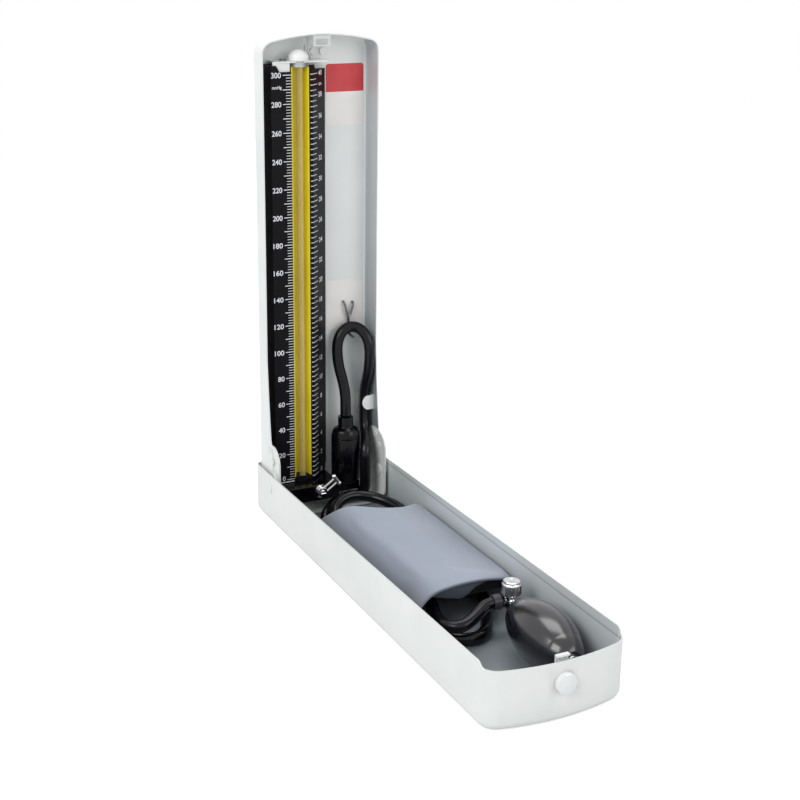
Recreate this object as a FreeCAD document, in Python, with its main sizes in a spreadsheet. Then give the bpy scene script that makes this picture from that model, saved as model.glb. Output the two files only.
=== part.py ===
import FreeCAD, Part
import math
import os
from types import SimpleNamespace

import Sketcher
from FreeCAD import Placement, Rotation, Vector

# Mercury sphygmomanometer in a pressed-steel desk case, lid open and standing.
#
# Design frame, millimetres: X across the case, Y from front to rear, Z up.
# The rear face of the base is at Y = 0, its front at Y = -base_length, and the case is
# centred on X = 0. Every sub-part's Placement then moves it back by row_shift, so that the
# finished part is centred over its origin.

SIZES = {
    # base tray
    "base_length": 350.0,
    "base_width": 93.0,
    "base_sheet": 1.0,
    "base_front_corner": 12.0,
    "base_rear_corner": 5.0,
    "base_bottom_radius": 6.0,
    "base_bow_radius": 150.0,
    "rim_rear": 37.8,
    "rim_side": 41.2,
    "rim_front": 37.8,
    "rim_step_start": 333.0,
    "rim_step_length": 6.0,
    # hinge
    "hinge_from_rear": 29.5,
    "hinge_height": 29.0,
    "pin_radius": 2.5,
    "pin_head_radius": 4.2,
    "pin_head": 0.8,
    "running_gap": 0.08,
    # lid
    "lid_side_gap": 2.8,
    "lid_rear_gap": 2.15,
    "lid_front_gap": 0.1,
    "lid_sheet": 0.9,
    "lid_edge_radius": 3.9,
    "lid_corner": 9.0,
    "lid_bow_radius": 160.0,
    "lid_rim_depth": 19.3,
    "lid_flare_one": 21.3,
    "lid_flare_one_height": 93.0,
    "lid_flare_two": 24.4,
    "lid_flare_two_height": 63.0,
    "lid_flare_three": 28.0,
    "lid_flare_three_height": 50.0,
    "flare_start": 120.0,
    "rim_seat_gap": 0.3,
    "lid_end_step": 11.5,
    "lid_end_rise": 6.5,
    "hinge_wall_front": 7.0,
    "hinge_wall_half": 5.0,
    # ear brackets
    "ear_sheet": 1.2,
    "ear_round": 22.8,
    "ear_front": 9.2,
    "ear_back": 20.5,
    "ear_top": 29.8,
    "ear_top_round": 13.0,
    "ear_back_round": 8.0,
    "ear_foot_round": 8.6,
    "ear_rivet_high": 25.9,
    "ear_rivet_high_back": 7.2,
    "ear_rivet_low": 18.6,
    "ear_rivet_low_back": 1.0,
    "rivet_radius": 1.5,
    "rivet_head_over": 0.9,
    "rivet_head": 0.55,
    # scale panel
    "panel_depth": 19.3,
    "panel_sheet": 0.8,
    "panel_side_gap": 4.3,
    "panel_fold": 6.5,
    "panel_right": 9.7,
    "panel_bottom": 25.4,
    "panel_below_lid_top": 20.8,
    "panel_notch_depth": 4.3,
    "panel_notch_left": 34.0,
    "panel_foot": 6.0,
    "panel_rivet_low": 35.0,
    "panel_rivet_high": 38.6,
    "window_left": 22.5,
    "window_right": 9.2,
    "window_bottom": 28.8,
    "fit_gap": 0.1,
    "zero_height": 27.9,
    # tube and its backing
    "backing_below_panel_top": 1.6,
    "backing_sheet": 0.6,
    "backing_depth": 9.0,
    "backing_floor_left": 20.6,
    "backing_floor_right": 10.9,
    "tube_x": 15.2,
    "tube_depth": 14.7,
    "tube_radius": 3.7,
    "tube_bore": 2.0,
    "tube_above_plate": 3.3,
    "mercury_gap": 0.05,
    "seal_radius": 5.3,
    # top hardware
    "plate_inset": 4.6,
    "plate_right": 5.8,
    "plate_front": 18.6,
    "plate_above_panel": 1.4,
    "plate_sheet": 1.2,
    "leaf_left": 5.5,
    "leaf_right": 10.8,
    "leaf_height": 10.5,
    "leaf_sheet": 1.0,
    "leaf_rivet_one": 0.0,
    "leaf_rivet_two": 7.1,
    "leaf_rivet_from_top": 4.4,
    "leaf_rivet_stud": 1.5,
    "apron_inset": 1.8,
    "apron_gap": 0.6,
    "apron_below_notch": 1.5,
    "ring_radius": 4.6,
    "cap_radius": 6.85,
    "cap_side": 3.2,
    "cap_height": 7.7,
    "plate_screw_x": 25.7,
    "plate_screw_depth": 12.0,
    "plate_screw_radius": 1.3,
    "plate_screw_head": 2.2,
    "plate_screw_below": 4.4,
    "plate_screw_head_height": 1.2,
    "drill_past": 1.0,
    "keeper_radius": 0.6,
    # latch
    "striker_half": 6.3,
    "striker_sheet": 0.8,
    "striker_reach": 7.3,
    "striker_leaf": 12.0,
    "window_half": 4.6,
    "window_front": 2.5,
    "window_depth": 3.8,
    "button_radius": 6.4,
    "button_out": 4.2,
    "button_rim_out": 2.9,
    "button_height": 25.0,
    "button_flange_radius": 7.6,
    "button_flange": 1.2,
    "button_neck_radius": 3.0,
    "button_stem_radius": 2.0,
    "button_gap": 0.1,
    "latch_travel": 2.2,
    "catch_half": 4.3,
    "catch_sheet": 1.0,
    "catch_from_front": 4.0,
    "catch_bottom": 14.0,
    "hook_reach": 1.6,
    "hook_sheet": 1.2,
    "hook_gap": 0.35,
    "catch_slot_width": 2.2,
    "catch_slot_height": 0.8,
    "guide_from_front": 12.0,
    "guide_half": 9.0,
    "guide_foot": 11.0,
    "guide_top": 28.5,
    "guide_sheet": 1.0,
    "cheek_gap": 0.3,
    "cheek_bottom": 9.0,
    "cheek_top": 28.0,
    "spring_radius": 2.8,
    "spring_wire": 0.35,
    "spring_turns": 4.0,
    "spring_boss_radius": 1.6,
    "spring_boss": 3.0,
    # lid stop
    "stop_left": 24.0,
    "stop_right": 14.0,
    "stop_height": 3.2,
    "stop_foot": 7.0,
    "stop_gap": 0.3,
    # valve block
    "block_side_gap": 9.6,
    "block_right": 7.4,
    "block_front": 32.0,
    "block_bottom": 13.2,
    "block_gap": 0.3,
    "block_chamfer": 0.8,
    "block_rear": 3.2,
    "tongue_left": 29.0,
    "tongue_right": 2.0,
    "tongue_sheet": 3.5,
    "tongue_top": 36.0,
    "block_screw_height": 31.0,
    "block_screw_inset": 6.5,
    "block_screw_right": 1.5,
    "block_screw_radius": 1.3,
    "foot_left": 6.0,
    "foot_right": 28.0,
    "foot_front": 23.4,
    "foot_rear": 12.5,
    "foot_top": 19.5,
    "socket_depth": 3.1,
    "drilling": 1.1,
    "drilling_depth": 26.0,
    "drilling_low": 16.3,
    "drilling_turn": 4.0,
    # shut-off valve
    "valve_x": 7.5,
    "valve_height": 20.4,
    "plug_radius": 3.5,
    "plug_length": 11.5,
    "plug_end_gap": 0.3,
    "stem_radius": 2.2,
    "gland_radius": 5.0,
    "gland": 1.4,
    "hub_radius": 3.4,
    "hub": 3.3,
    "hub_gap": 0.3,
    "lever_angle": 35.5,
    "lever_length": 13.8,
    "lever_rod_radius": 0.95,
    "lever_rod_spacing": 1.9,
    "lever_bar_radius": 1.6,
    "lever_bar": 7.0,
    "lever_screw_radius": 1.0,
    "lever_screw_head": 1.9,
    "lever_screw_rise": 1.1,
    "lever_screw_depth": 5.0,
    # reservoir
    "reservoir_x": 19.6,
    "reservoir_depth": 16.8,
    "reservoir_radius": 10.7,
    "reservoir_wall": 3.4,
    "reservoir_floor": 2.0,
    "gasket": 1.4,
    "gasket_radius": 9.8,
    "reservoir_side": 33.0,
    "filter": 1.0,
    "filter_seat": 4.2,
    "filter_radius": 8.7,
    "shoulder": 8.4,
    "neck_radius": 5.7,
    "neck_top": 69.8,
    "nipple_bore": 1.5,
    "cap_cavity": 5.8,
    "reservoir_fill": 22.0,
    "soft_gap": 0.1,
    # labels
    "label": 0.15,
    "label_left": 10.2,
    "label_side_gap": 3.4,
    "upper_label_below_lid_top": 22.4,
    "upper_label_height": 43.0,
    "lower_label_bottom": 134.0,
    "lower_label_top": 171.0,
    # hose fittings
    "hose_radius": 4.0,
    "hook_wire": 0.85,
    "clip_sheet": 0.8,
    "clip_bottom": 72.3,
    "clip_height": 11.0,
    "clip_depth": 11.5,
    "clip_round_x": 37.9,
    "bend_x": 30.0,
    "bend_reach": 8.0,
    "joiner_radius": 3.6,
    "joiner_flange": 4.0,
    "joiner_length": 15.0,
    "joiner_flange_from": 7.0,
    "joiner_flange_length": 4.0,
    # cuff
    "cuff_bottom": 9.6,
    "cuff_side_gap": 1.2,
    "cuff_side_height": 26.0,
    "cuff_crown": 33.6,
    "cuff_rear_left": 88.0,
    "cuff_rear_mid": 103.0,
    "cuff_rear_right": 93.0,
    "cuff_mid_x": 10.0,
    "cuff_front_left": 110.0,
    "cuff_front_mid": 121.0,
    "cuff_front_right": 124.0,
    "cuff_front_mid_x": 5.0,
    "flap_length": 30.0,
    "flap_bottom": 22.0,
    "pocket_bottom": 13.6,
    "pocket_height": 8.6,
    "pocket_half": 31.0,
    "pocket_rear": 108.0,
    "bladder_gap": 0.3,
    "bladder_inset": 38.0,
    "bladder_rear": 146.0,
    "bladder_edge": 2.5,
    "joiner_x": 8.0,
    "joiner_depth": 90.0,
    "tube_slot_gap": 0.9,
    # bulb and release valve
    "bulb_side_gap": 3.4,
    "bulb_from_front": 59.5,
    "bulb_radius": 18.2,
    "bulb_half": 33.7,
    "bulb_shoulder_radius": 13.0,
    "bulb_shoulder": 24.4,
    "bulb_shoulder_round": 16.0,
    "bulb_neck": 4.2,
    "bulb_wall": 2.0,
    "bulb_yaw": 4.0,
    "bulb_gap": 0.3,
    "intake_radius": 4.6,
    "intake": 3.0,
    "intake_spigot": 6.0,
    "spigot_radius": 2.1,
    "valve_flange_radius": 5.2,
    "valve_flange": 1.6,
    "valve_body_radius": 4.2,
    "valve_body": 14.0,
    "valve_spigot": 7.0,
    "boss_from_bulb": 43.0,
    "boss_radius": 3.2,
    "boss": 2.2,
    "boss_bore": 1.7,
    "knob_radius": 6.3,
    "knob": 9.6,
    "knob_gap": 0.3,
    "knob_stem": 1.6,
    "knob_stem_length": 2.2,
    "nozzle_radius": 1.9,
    "nozzle_rise": 2.0,
    "nozzle_reach": 6.6,
    "nozzle_grip": 7.0,
    "tube_lead": 5.2,
    "collar_from_end": 2.4,
    "collar_radius": 4.9,
    "collar": 5.0,
}

TUBE_SEGMENT = 0.45
EPS = 1e-4

doc = FreeCAD.newDocument("sphygmomanometer")
sheet = doc.addObject("Spreadsheet::Sheet", "Sizes")
for row, (alias, number) in enumerate(SIZES.items(), start=1):
    sheet.set(f"A{row}", alias)
    sheet.set(f"B{row}", f"{number:g}")
    sheet.setAlias(f"B{row}", alias)
doc.recompute()


class Size:
    """A length that carries both its value and the expression that works it out from the sheet."""

    def __init__(self, value, text):
        self.value = float(value)
        self.text = text

    def __add__(self, other):
        other = as_size(other)
        return Size(self.value + other.value, f"({self.text} + {other.text})")

    def __sub__(self, other):
        other = as_size(other)
        return Size(self.value - other.value, f"({self.text} - {other.text})")

    def __mul__(self, other):
        other = as_size(other)
        return Size(self.value * other.value, f"({self.text} * {other.text})")

    def __truediv__(self, other):
        other = as_size(other)
        return Size(self.value / other.value, f"({self.text} / {other.text})")

    def __neg__(self):
        return Size(-self.value, f"(0 - {self.text})")

    def __radd__(self, other):
        return as_size(other) + self

    def __rsub__(self, other):
        return as_size(other) - self

    def __rmul__(self, other):
        return as_size(other) * self


def as_size(number):
    if isinstance(number, Size):
        return number
    return Size(number, f"({number:g})" if number < 0 else f"{number:g}")


def root(size):
    return Size(math.sqrt(size.value), f"sqrt({size.text})")


def cosine(degrees):
    return Size(math.cos(math.radians(degrees.value)), f"cos({degrees.text} * 1 deg)")


def sine(degrees):
    return Size(math.sin(math.radians(degrees.value)), f"sin({degrees.text} * 1 deg)")


S = SimpleNamespace(**{alias: Size(number, f"Sizes.{alias}") for alias, number in SIZES.items()})
row_shift = (S.base_length + S.button_out) / 2
kept = {}
design_y = {}


# ---------------------------------------------------------------- helpers


def bind(obj, prop, size):
    obj.setExpression(prop, as_size(size).text)


def put(obj, x, y, z):
    bind(obj, "Placement.Base.x", x)
    bind(obj, "Placement.Base.y", y)
    bind(obj, "Placement.Base.z", z)
    design_y[obj.Name] = as_size(y)


def keep(obj, node):
    """Hand obj in as the sub-part called node, moved into the finished part's frame."""
    obj.Label = node
    bind(obj, "Placement.Base.y", design_y.get(obj.Name, as_size(0)) + row_shift)
    kept[node] = obj
    return obj


def keep_shape(shape, node):
    """A Part::Feature for a form that no other feature makes, such as a hose."""
    obj = doc.addObject("Part::Feature", node + "_form")
    obj.Shape = shape
    put(obj, 0, 0, 0)
    return keep(obj, node)


def box(name, low, high):
    obj = doc.addObject("Part::Box", name)
    for prop, start, end in zip(("Length", "Width", "Height"), low, high):
        bind(obj, prop, as_size(end) - start)
    put(obj, *low)
    return obj


TURNS = {
    "x": Rotation(Vector(0, 1, 0), 90),
    "y": Rotation(Vector(1, 0, 0), -90),
    "z": Rotation(),
}


def rod(name, axis, centre, radius, start, end):
    """A cylinder along axis from start to end; centre gives its other two coordinates."""
    obj = doc.addObject("Part::Cylinder", name)
    obj.Placement = Placement(Vector(), TURNS[axis])
    bind(obj, "Radius", radius)
    bind(obj, "Height", as_size(end) - start)
    across = list(centre)
    across.insert("xyz".index(axis), start)
    put(obj, *across)
    return obj


def fuse(name, *pieces):
    obj = doc.addObject("Part::MultiFuse", name)
    obj.Shapes = list(pieces)
    obj.Refine = True
    return obj


def cut(name, base, *tools):
    """Take the tools away from base one after another."""
    for number, tool in enumerate(tools, start=1):
        obj = doc.addObject("Part::Cut", name if number == len(tools) else f"{name}_{number}")
        obj.Base = base
        obj.Tool = tool
        base = obj
    return base


def group(name, *pieces):
    obj = doc.addObject("Part::Compound", name)
    obj.Links = list(pieces)
    return obj


def body(name):
    return doc.addObject("PartDesign::Body", name)


def origin_part(holder, role):
    return next(part for part in holder.Origin.OriginFeatures if part.Role == role)


def arc_between(start, end, radius):
    """The shorter arc from start to end: counter-clockwise when radius is above 0."""
    (x0, y0), (x1, y1) = start, end
    chord = math.hypot(x1 - x0, y1 - y0)
    rise = math.sqrt(max(radius * radius - chord * chord / 4, 0))
    side = 1 if radius > 0 else -1
    cx = (x0 + x1) / 2 - side * (y1 - y0) / chord * rise
    cy = (y0 + y1) / 2 + side * (x1 - x0) / chord * rise
    first = math.atan2(y0 - cy, x0 - cx)
    last = math.atan2(y1 - cy, x1 - cx)
    if radius < 0:
        first, last = last, first
    if last < first:
        last += 2 * math.pi
    return Part.ArcOfCircle(Part.Circle(Vector(cx, cy, 0), Vector(0, 0, 1), abs(radius)), first, last)


def outline(sketch, points, arcs=None):
    """Close a loop through points. arcs maps a point's number to the radius of the arc that
    leaves it; a radius above 0 turns counter-clockwise. Every size is bound to the sheet."""
    arcs = arcs or {}
    first = sketch.GeometryCount
    count = len(points)
    ends = []
    for number, point in enumerate(points):
        start = tuple(as_size(value).value for value in point)
        stop = tuple(as_size(value).value for value in points[(number + 1) % count])
        if number in arcs:
            radius = as_size(arcs[number])
            sketch.addGeometry(arc_between(start, stop, radius.value))
            bound = Sketcher.Constraint("Radius", first + number, abs(radius.value))
            index = sketch.addConstraint(bound)
            sketch.setExpression(f"Constraints[{index}]", f"abs({radius.text})")
            ends.append((1, 2) if radius.value > 0 else (2, 1))
        else:
            sketch.addGeometry(Part.LineSegment(Vector(*start, 0), Vector(*stop, 0)))
            ends.append((1, 2))
    for number in range(count):
        follower = (number + 1) % count
        joint = (first + number, ends[number][1], first + follower, ends[follower][0])
        sketch.addConstraint(Sketcher.Constraint("Coincident", *joint))
    for number, point in enumerate(points):
        for kind, value in zip(("DistanceX", "DistanceY"), point):
            value = as_size(value)
            vertex = (first + number, ends[number][0])
            index = sketch.addConstraint(Sketcher.Constraint(kind, -1, 1, *vertex, value.value))
            sketch.setExpression(f"Constraints[{index}]", value.text)
    return sketch


def rectangle(sketch, low, high):
    (x0, y0), (x1, y1) = low, high
    return outline(sketch, [(x0, y0), (x1, y0), (x1, y1), (x0, y1)])


def new_sketch(holder, role, offset=0):
    sketch = holder.newObject("Sketcher::SketchObject", holder.Name + "_sketch")
    sketch.AttachmentSupport = [(origin_part(holder, role), "")]
    sketch.MapMode = "FlatFace"
    bind(sketch, "AttachmentOffset.Base.z", offset)
    return sketch


def pad(holder, sketch, length, symmetric=False):
    feature = holder.newObject("PartDesign::Pad", holder.Name + "_pad")
    feature.Profile = sketch
    feature.Midplane = symmetric
    bind(feature, "Length", length)
    doc.recompute()
    return feature


def pocket(holder, sketch, length, symmetric=False, reverse=False):
    feature = holder.newObject("PartDesign::Pocket", holder.Name + "_pocket")
    feature.Profile = sketch
    feature.Midplane = symmetric
    feature.Reversed = reverse
    bind(feature, "Length", length)
    doc.recompute()
    return feature


def fillet(holder, base, chosen, radius):
    """Round the edges of base for which chosen(edge) is true."""
    names = [f"Edge{n}" for n, edge in enumerate(base.Shape.Edges, start=1) if chosen(edge)]
    feature = holder.newObject("PartDesign::Fillet", holder.Name + "_fillet")
    feature.Base = (base, names)
    bind(feature, "Radius", radius)
    doc.recompute()
    return feature


def turned(name, points, arcs=None):
    """A body turned about Z from a profile of (radius, height) points."""
    holder = body(name)
    sketch = outline(new_sketch(holder, "XZ_Plane"), points, arcs)
    feature = holder.newObject("PartDesign::Revolution", name + "_turn")
    feature.Profile = sketch
    feature.ReferenceAxis = (origin_part(holder, "Z_Axis"), [""])
    feature.Angle = 360
    doc.recompute()
    return holder


def run_path(points):
    """Straight runs joined by tangent arcs, each as large as its two runs allow."""
    spots = [Vector(*(as_size(value).value for value in point)) for point in points]
    edges = []
    radii = []
    start = spots[0]
    for before, corner, after in zip(spots, spots[1:], spots[2:]):
        into = (corner - before).normalize()
        out = (after - corner).normalize()
        turn = into.getAngle(out)
        reach = TUBE_SEGMENT * min((corner - before).Length, (after - corner).Length)
        radius = reach / math.tan(turn / 2)
        radii.append(radius)
        arc_start = corner - into * reach
        arc_end = corner + out * reach
        bisector = (out - into).normalize()
        middle = corner + bisector * (radius / math.cos(turn / 2) - radius)
        edges.append(Part.LineSegment(start, arc_start).toShape())
        edges.append(Part.Arc(arc_start, middle, arc_end).toShape())
        start = arc_end
    edges.append(Part.LineSegment(start, spots[-1]).toShape())
    return Part.Wire(edges), radii


def swept(points, radius):
    path, radii = run_path(points)
    start, towards = (Vector(*(as_size(value).value for value in point)) for point in points[:2])
    ring = Part.Wire(Part.Circle(start, towards - start, radius.value).toShape())
    tube = path.makePipeShell([ring], True, False)
    return tube, path.Length, radii


def hose(points, node):
    tube, length, radii = swept(points, S.hose_radius)
    expected = math.pi * S.hose_radius.value ** 2 * length
    print(
        f"{node}: length {length:.1f}, volume {tube.Volume / expected:.4f} of section x length,",
        f"tightest radius {min(radii):.1f}, radii {[round(radius) for radius in radii]}",
    )
    return keep_shape(tube, node)


# ---------------------------------------------------------------- places that pieces share

hinge_y = -S.hinge_from_rear
hinge_z = S.hinge_height
lid_swing = S.hinge_from_rear - S.lid_rear_gap
lid_back = -S.lid_rear_gap - S.lid_sheet
lid_half = S.base_width / 2 - S.lid_side_gap
lid_inner = lid_half - S.lid_sheet
lid_top = S.hinge_height + S.base_length - S.hinge_from_rear - S.lid_front_gap
ear_inner = lid_inner - S.ear_sheet
pin_hole = S.pin_radius + S.running_gap
base_half = S.base_width / 2
base_inner = base_half - S.base_sheet
floor = S.base_sheet
front_inner = -S.base_length + S.base_sheet
panel_left = ear_inner - S.panel_side_gap
block_left = ear_inner - S.block_side_gap
panel_top = lid_top - S.panel_below_lid_top
panel_notch_bottom = panel_top - S.panel_notch_depth
backing_top = panel_top - S.backing_below_panel_top
plate_bottom = panel_top + S.plate_above_panel
cuff_half = base_inner - S.cuff_side_gap
cuff_front_left = S.base_length - S.cuff_front_left
pocket_middle = S.pocket_bottom + S.pocket_height / 2
bladder_front = cuff_front_left - S.bladder_inset


def when_shut(y, z):
    """Where a point of the shut lid, seen in the base, lies on the standing lid."""
    return (z + hinge_y - hinge_z, hinge_z + hinge_y - y)


# ---------------------------------------------------------------- base tray


def base_outline(sketch, inset):
    half = base_half - inset
    rear = -inset
    corner_x = base_half - S.base_front_corner
    bow_y = -S.base_length + S.base_bow_radius
    inner_bow = S.base_bow_radius - S.base_front_corner
    corner_y = bow_y - root(inner_bow * inner_bow - corner_x * corner_x)
    scale = (S.base_bow_radius - inset) / inner_bow
    touch_x = corner_x * scale
    touch_y = bow_y + (corner_y - bow_y) * scale
    rear_x = base_half - S.base_rear_corner
    points = [
        (rear_x, rear),
        (-rear_x, rear),
        (-half, -S.base_rear_corner),
        (-half, corner_y),
        (-touch_x, touch_y),
        (touch_x, touch_y),
        (half, corner_y),
        (half, -S.base_rear_corner),
    ]
    arcs = {
        1: S.base_rear_corner - inset,
        3: S.base_front_corner - inset,
        4: S.base_bow_radius - inset,
        5: S.base_front_corner - inset,
        7: S.base_rear_corner - inset,
    }
    return outline(sketch, points, arcs)


def base_block(name, inset, bottom, height):
    holder = body(name)
    block = pad(holder, base_outline(new_sketch(holder, "XY_Plane", bottom), inset), height)
    low = as_size(bottom).value
    fillet(holder, block, lambda edge: edge.BoundBox.ZMax < low + EPS, S.base_bottom_radius - inset)
    return holder


def make_base_shell():
    over = 10
    outer = base_block("base_outside", as_size(0), 0, S.rim_side + over)
    step = S.rim_step_length / 2
    drop = (S.rim_side - S.rim_front) / 2
    bend = (step * step + drop * drop) / (2 * drop)
    start = -S.rim_step_start
    sketch = new_sketch(outer, "YZ_Plane")
    points = [
        (over, S.rim_rear),
        (-S.base_rear_corner, S.rim_rear),
        (start, S.rim_side),
        (start - step, S.rim_side - drop),
        (start - S.rim_step_length, S.rim_front),
        (-S.base_length - over, S.rim_front),
        (-S.base_length - over, S.rim_side + 2 * over),
        (over, S.rim_side + 2 * over),
    ]
    outline(sketch, points, {2: bend, 3: -bend})
    pocket(outer, sketch, S.base_width + over, symmetric=True)
    inner = base_block("base_inside", S.base_sheet, S.base_sheet, S.rim_side + over)
    pins = rod("base_pin_bore", "x", (hinge_y, hinge_z), S.pin_radius, -S.base_width, S.base_width)
    hole = rod(
        "base_button_bore",
        "y",
        (0, S.button_height),
        S.button_radius + S.button_gap,
        -S.base_length - over,
        -S.base_length + over,
    )
    keep(cut("base_pressing", outer, inner, pins, hole), "base_shell")


# ---------------------------------------------------------------- lid


def lid_outline(sketch, inset):
    """Everything outside the lid's front view: the bowed top end and the straight sides."""
    over = 20
    half = lid_half - inset
    corner_x = lid_half - S.lid_corner
    bow_z = lid_top - S.lid_bow_radius
    inner_bow = S.lid_bow_radius - S.lid_corner
    corner_z = bow_z + root(inner_bow * inner_bow - corner_x * corner_x)
    scale = (S.lid_bow_radius - inset) / inner_bow
    touch_x = corner_x * scale
    touch_z = bow_z + (corner_z - bow_z) * scale
    points = [
        (half, -over),
        (half, corner_z),
        (touch_x, touch_z),
        (-touch_x, touch_z),
        (-half, corner_z),
        (-half, -over),
        (-half - over, -over),
        (-half - over, lid_top + over),
        (half + over, lid_top + over),
        (half + over, -over),
    ]
    arcs = {
        1: S.lid_corner - inset,
        2: S.lid_bow_radius - inset,
        3: S.lid_corner - inset,
    }
    return outline(sketch, points, arcs)


def lid_block(name, inset, rim):
    """The lid's side profile, trimmed to its front view and rounded along its back edges."""
    over = 10
    holder = body(name)
    back = -S.lid_rear_gap - inset
    swing = lid_swing - inset
    points = [(hinge_y, hinge_z - swing), (back, hinge_z), (back, lid_top + over)] + rim
    block = pad(holder, outline(new_sketch(holder, "YZ_Plane"), points, {0: swing}), 2 * lid_half, True)
    sketch = lid_outline(new_sketch(holder, "XZ_Plane"), inset)
    trimmed = pocket(holder, sketch, 4 * S.base_width, symmetric=True)

    def rounded(edge):
        box_ = edge.BoundBox
        on_back = abs(box_.YMax - back.value) < EPS and abs(box_.YMin - back.value) < EPS
        on_curve = isinstance(edge.Curve, Part.Circle) and abs(edge.Curve.Radius - swing.value) < EPS
        across = box_.ZMax - box_.ZMin < EPS and abs(box_.ZMax - hinge_z.value) < EPS
        return (on_back and not across) or on_curve

    fillet(holder, trimmed, rounded, S.lid_edge_radius - inset)
    return holder


def make_lid_shell():
    over = 30
    end_rim = when_shut(as_size(0), S.rim_front + S.rim_seat_gap)[0]
    wall_front = hinge_y - S.hinge_wall_front
    rim = [
        (end_rim, lid_top + 10),
        (end_rim, lid_top - S.lid_end_rise),
        (-S.lid_rim_depth, lid_top - S.lid_end_step),
        (-S.lid_rim_depth, S.flare_start),
        (-S.lid_flare_one, S.lid_flare_one_height),
        (-S.lid_flare_two, S.lid_flare_two_height),
        (-S.lid_flare_three, S.lid_flare_three_height),
        (-S.lid_flare_three, hinge_z + 2 * S.hinge_wall_half),
        (wall_front, hinge_z + S.hinge_wall_half),
        (wall_front, hinge_z - S.hinge_wall_half),
    ]
    outer = lid_block("lid_outside", as_size(0), rim)
    open_front = hinge_y - over
    low = hinge_z - lid_swing + S.lid_sheet
    inner = lid_block("lid_inside", S.lid_sheet, [(open_front, lid_top + 10), (open_front, low)])
    bores = [rod("lid_pin_bore", "x", (hinge_y, hinge_z), pin_hole, -S.base_width, S.base_width)]
    for number, (x, z, radius) in enumerate(lid_back_holes()):
        bores.append(rod(f"lid_back_bore_{number}", "y", (x, z), radius, lid_back - 5, 5))
    for number, (y, z) in enumerate(ear_rivet_spots()):
        bores.append(rod(f"lid_ear_bore_{number}", "x", (y, z), S.rivet_radius, -S.base_width, S.base_width))
    keep(cut("lid_pressing", outer, inner, *bores), "lid_shell")


def lid_back_holes():
    """The (x, z, radius) of every hole in the lid's back wall."""
    return (
        [(x, z, S.rivet_radius - 0.3) for x, z in panel_rivet_spots()]
        + [(x, leaf_rivet_z, S.rivet_radius) for x in leaf_rivet_spots()]
        + [(x, S.block_screw_height, S.block_screw_radius) for x in block_screw_spots()]
    )


# ---------------------------------------------------------------- hinge


def make_hinge():
    pins = []
    washers = []
    for name, side in (("left", -1), ("right", 1)):
        shank_from = ear_inner - 0.1 - S.pin_head
        head_to = base_half + S.pin_head

        def along(piece, radius, start, end):
            low, high = (start, end) if side > 0 else (-end, -start)
            return rod(f"{name}_{piece}", "x", (hinge_y, hinge_z), radius, low, high)

        shank = along("pin_shank", S.pin_radius, shank_from, head_to)
        head = along("pin_head", S.pin_head_radius, base_half, head_to)
        peened = along("pin_peen", S.pin_head_radius - 0.6, shank_from, shank_from + S.pin_head)
        pins.append(fuse(f"{name}_pin", shank, head, peened))
        ring = along("washer_ring", S.pin_head_radius + 0.8, lid_half + 0.05, base_inner - 0.05)
        bore = along("washer_bore", pin_hole, lid_half, base_inner)
        washers.append(cut(f"{name}_washer", ring, bore))
    keep(group("hinge_pin_pair", *pins), "hinge_pins")
    keep(group("hinge_washer_pair", *washers), "hinge_washers")


def ear_rivet_spots():
    return [
        (hinge_y + S.ear_rivet_high_back, hinge_z + S.ear_rivet_high),
        (hinge_y + S.ear_rivet_low_back, hinge_z + S.ear_rivet_low),
    ]


def make_ears():
    round_y = S.ear_back
    round_z = root(S.ear_round * S.ear_round - round_y * round_y)
    top = hinge_z + S.ear_top
    front = hinge_y - S.ear_front
    back = hinge_y + S.ear_back
    foot = hinge_z - S.ear_round
    points = [
        (hinge_y, foot),
        (back, hinge_z - round_z),
        (back, top - S.ear_back_round),
        (back - S.ear_back_round, top),
        (front + S.ear_top_round, top),
        (front, top - S.ear_top_round),
        (front, foot + S.ear_foot_round),
        (front + S.ear_foot_round, foot),
    ]
    arcs = {0: S.ear_round, 2: S.ear_back_round, 4: S.ear_top_round, 6: S.ear_foot_round}
    for name, start in (("left", -lid_inner), ("right", ear_inner)):
        holder = body(f"ear_{name}_plate")
        pad(holder, outline(new_sketch(holder, "YZ_Plane", start), points, arcs), S.ear_sheet)
        bores = [rod(f"ear_{name}_bore", "x", (hinge_y, hinge_z), pin_hole, -S.base_width, S.base_width)]
        for number, (y, z) in enumerate(ear_rivet_spots()):
            bore = (f"ear_{name}_rivet_bore_{number}", "x", (y, z), S.rivet_radius)
            bores.append(rod(*bore, -S.base_width, S.base_width))
        keep(cut(f"ear_{name}", holder, *bores), f"ear_bracket_{name}")


def rivet(name, axis, centre, radius, inner, outer, low_head=S.rivet_head):
    """A rivet whose two heads close on the faces at inner and outer, inner being the lower."""
    head = S.rivet_head
    shank = rod(name + "_shank", axis, centre, radius, inner - low_head, outer + head)
    low = rod(name + "_low_head", axis, centre, radius + S.rivet_head_over, inner - low_head, inner)
    high = rod(name + "_high_head", axis, centre, radius + S.rivet_head_over, outer, outer + head)
    return fuse(name, shank, low, high)


def make_ear_rivets():
    rivets = []
    for number, spot in enumerate(ear_rivet_spots()):
        rivets.append(rivet(f"ear_rivet_left_{number}", "x", spot, S.rivet_radius, -lid_half, -ear_inner))
        rivets.append(rivet(f"ear_rivet_right_{number}", "x", spot, S.rivet_radius, ear_inner, lid_half))
    keep(group("ear_rivet_set", *rivets), "ear_rivets")


# ---------------------------------------------------------------- scale panel


def panel_rivet_spots():
    left = -panel_left + S.panel_sheet + S.panel_foot / 2
    right = S.panel_right - S.panel_foot + 0.5
    rivet_heights = (S.panel_bottom + S.panel_rivet_low, panel_top - S.panel_rivet_high)
    return [(x, z) for x in (left, right) for z in rivet_heights]


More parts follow.
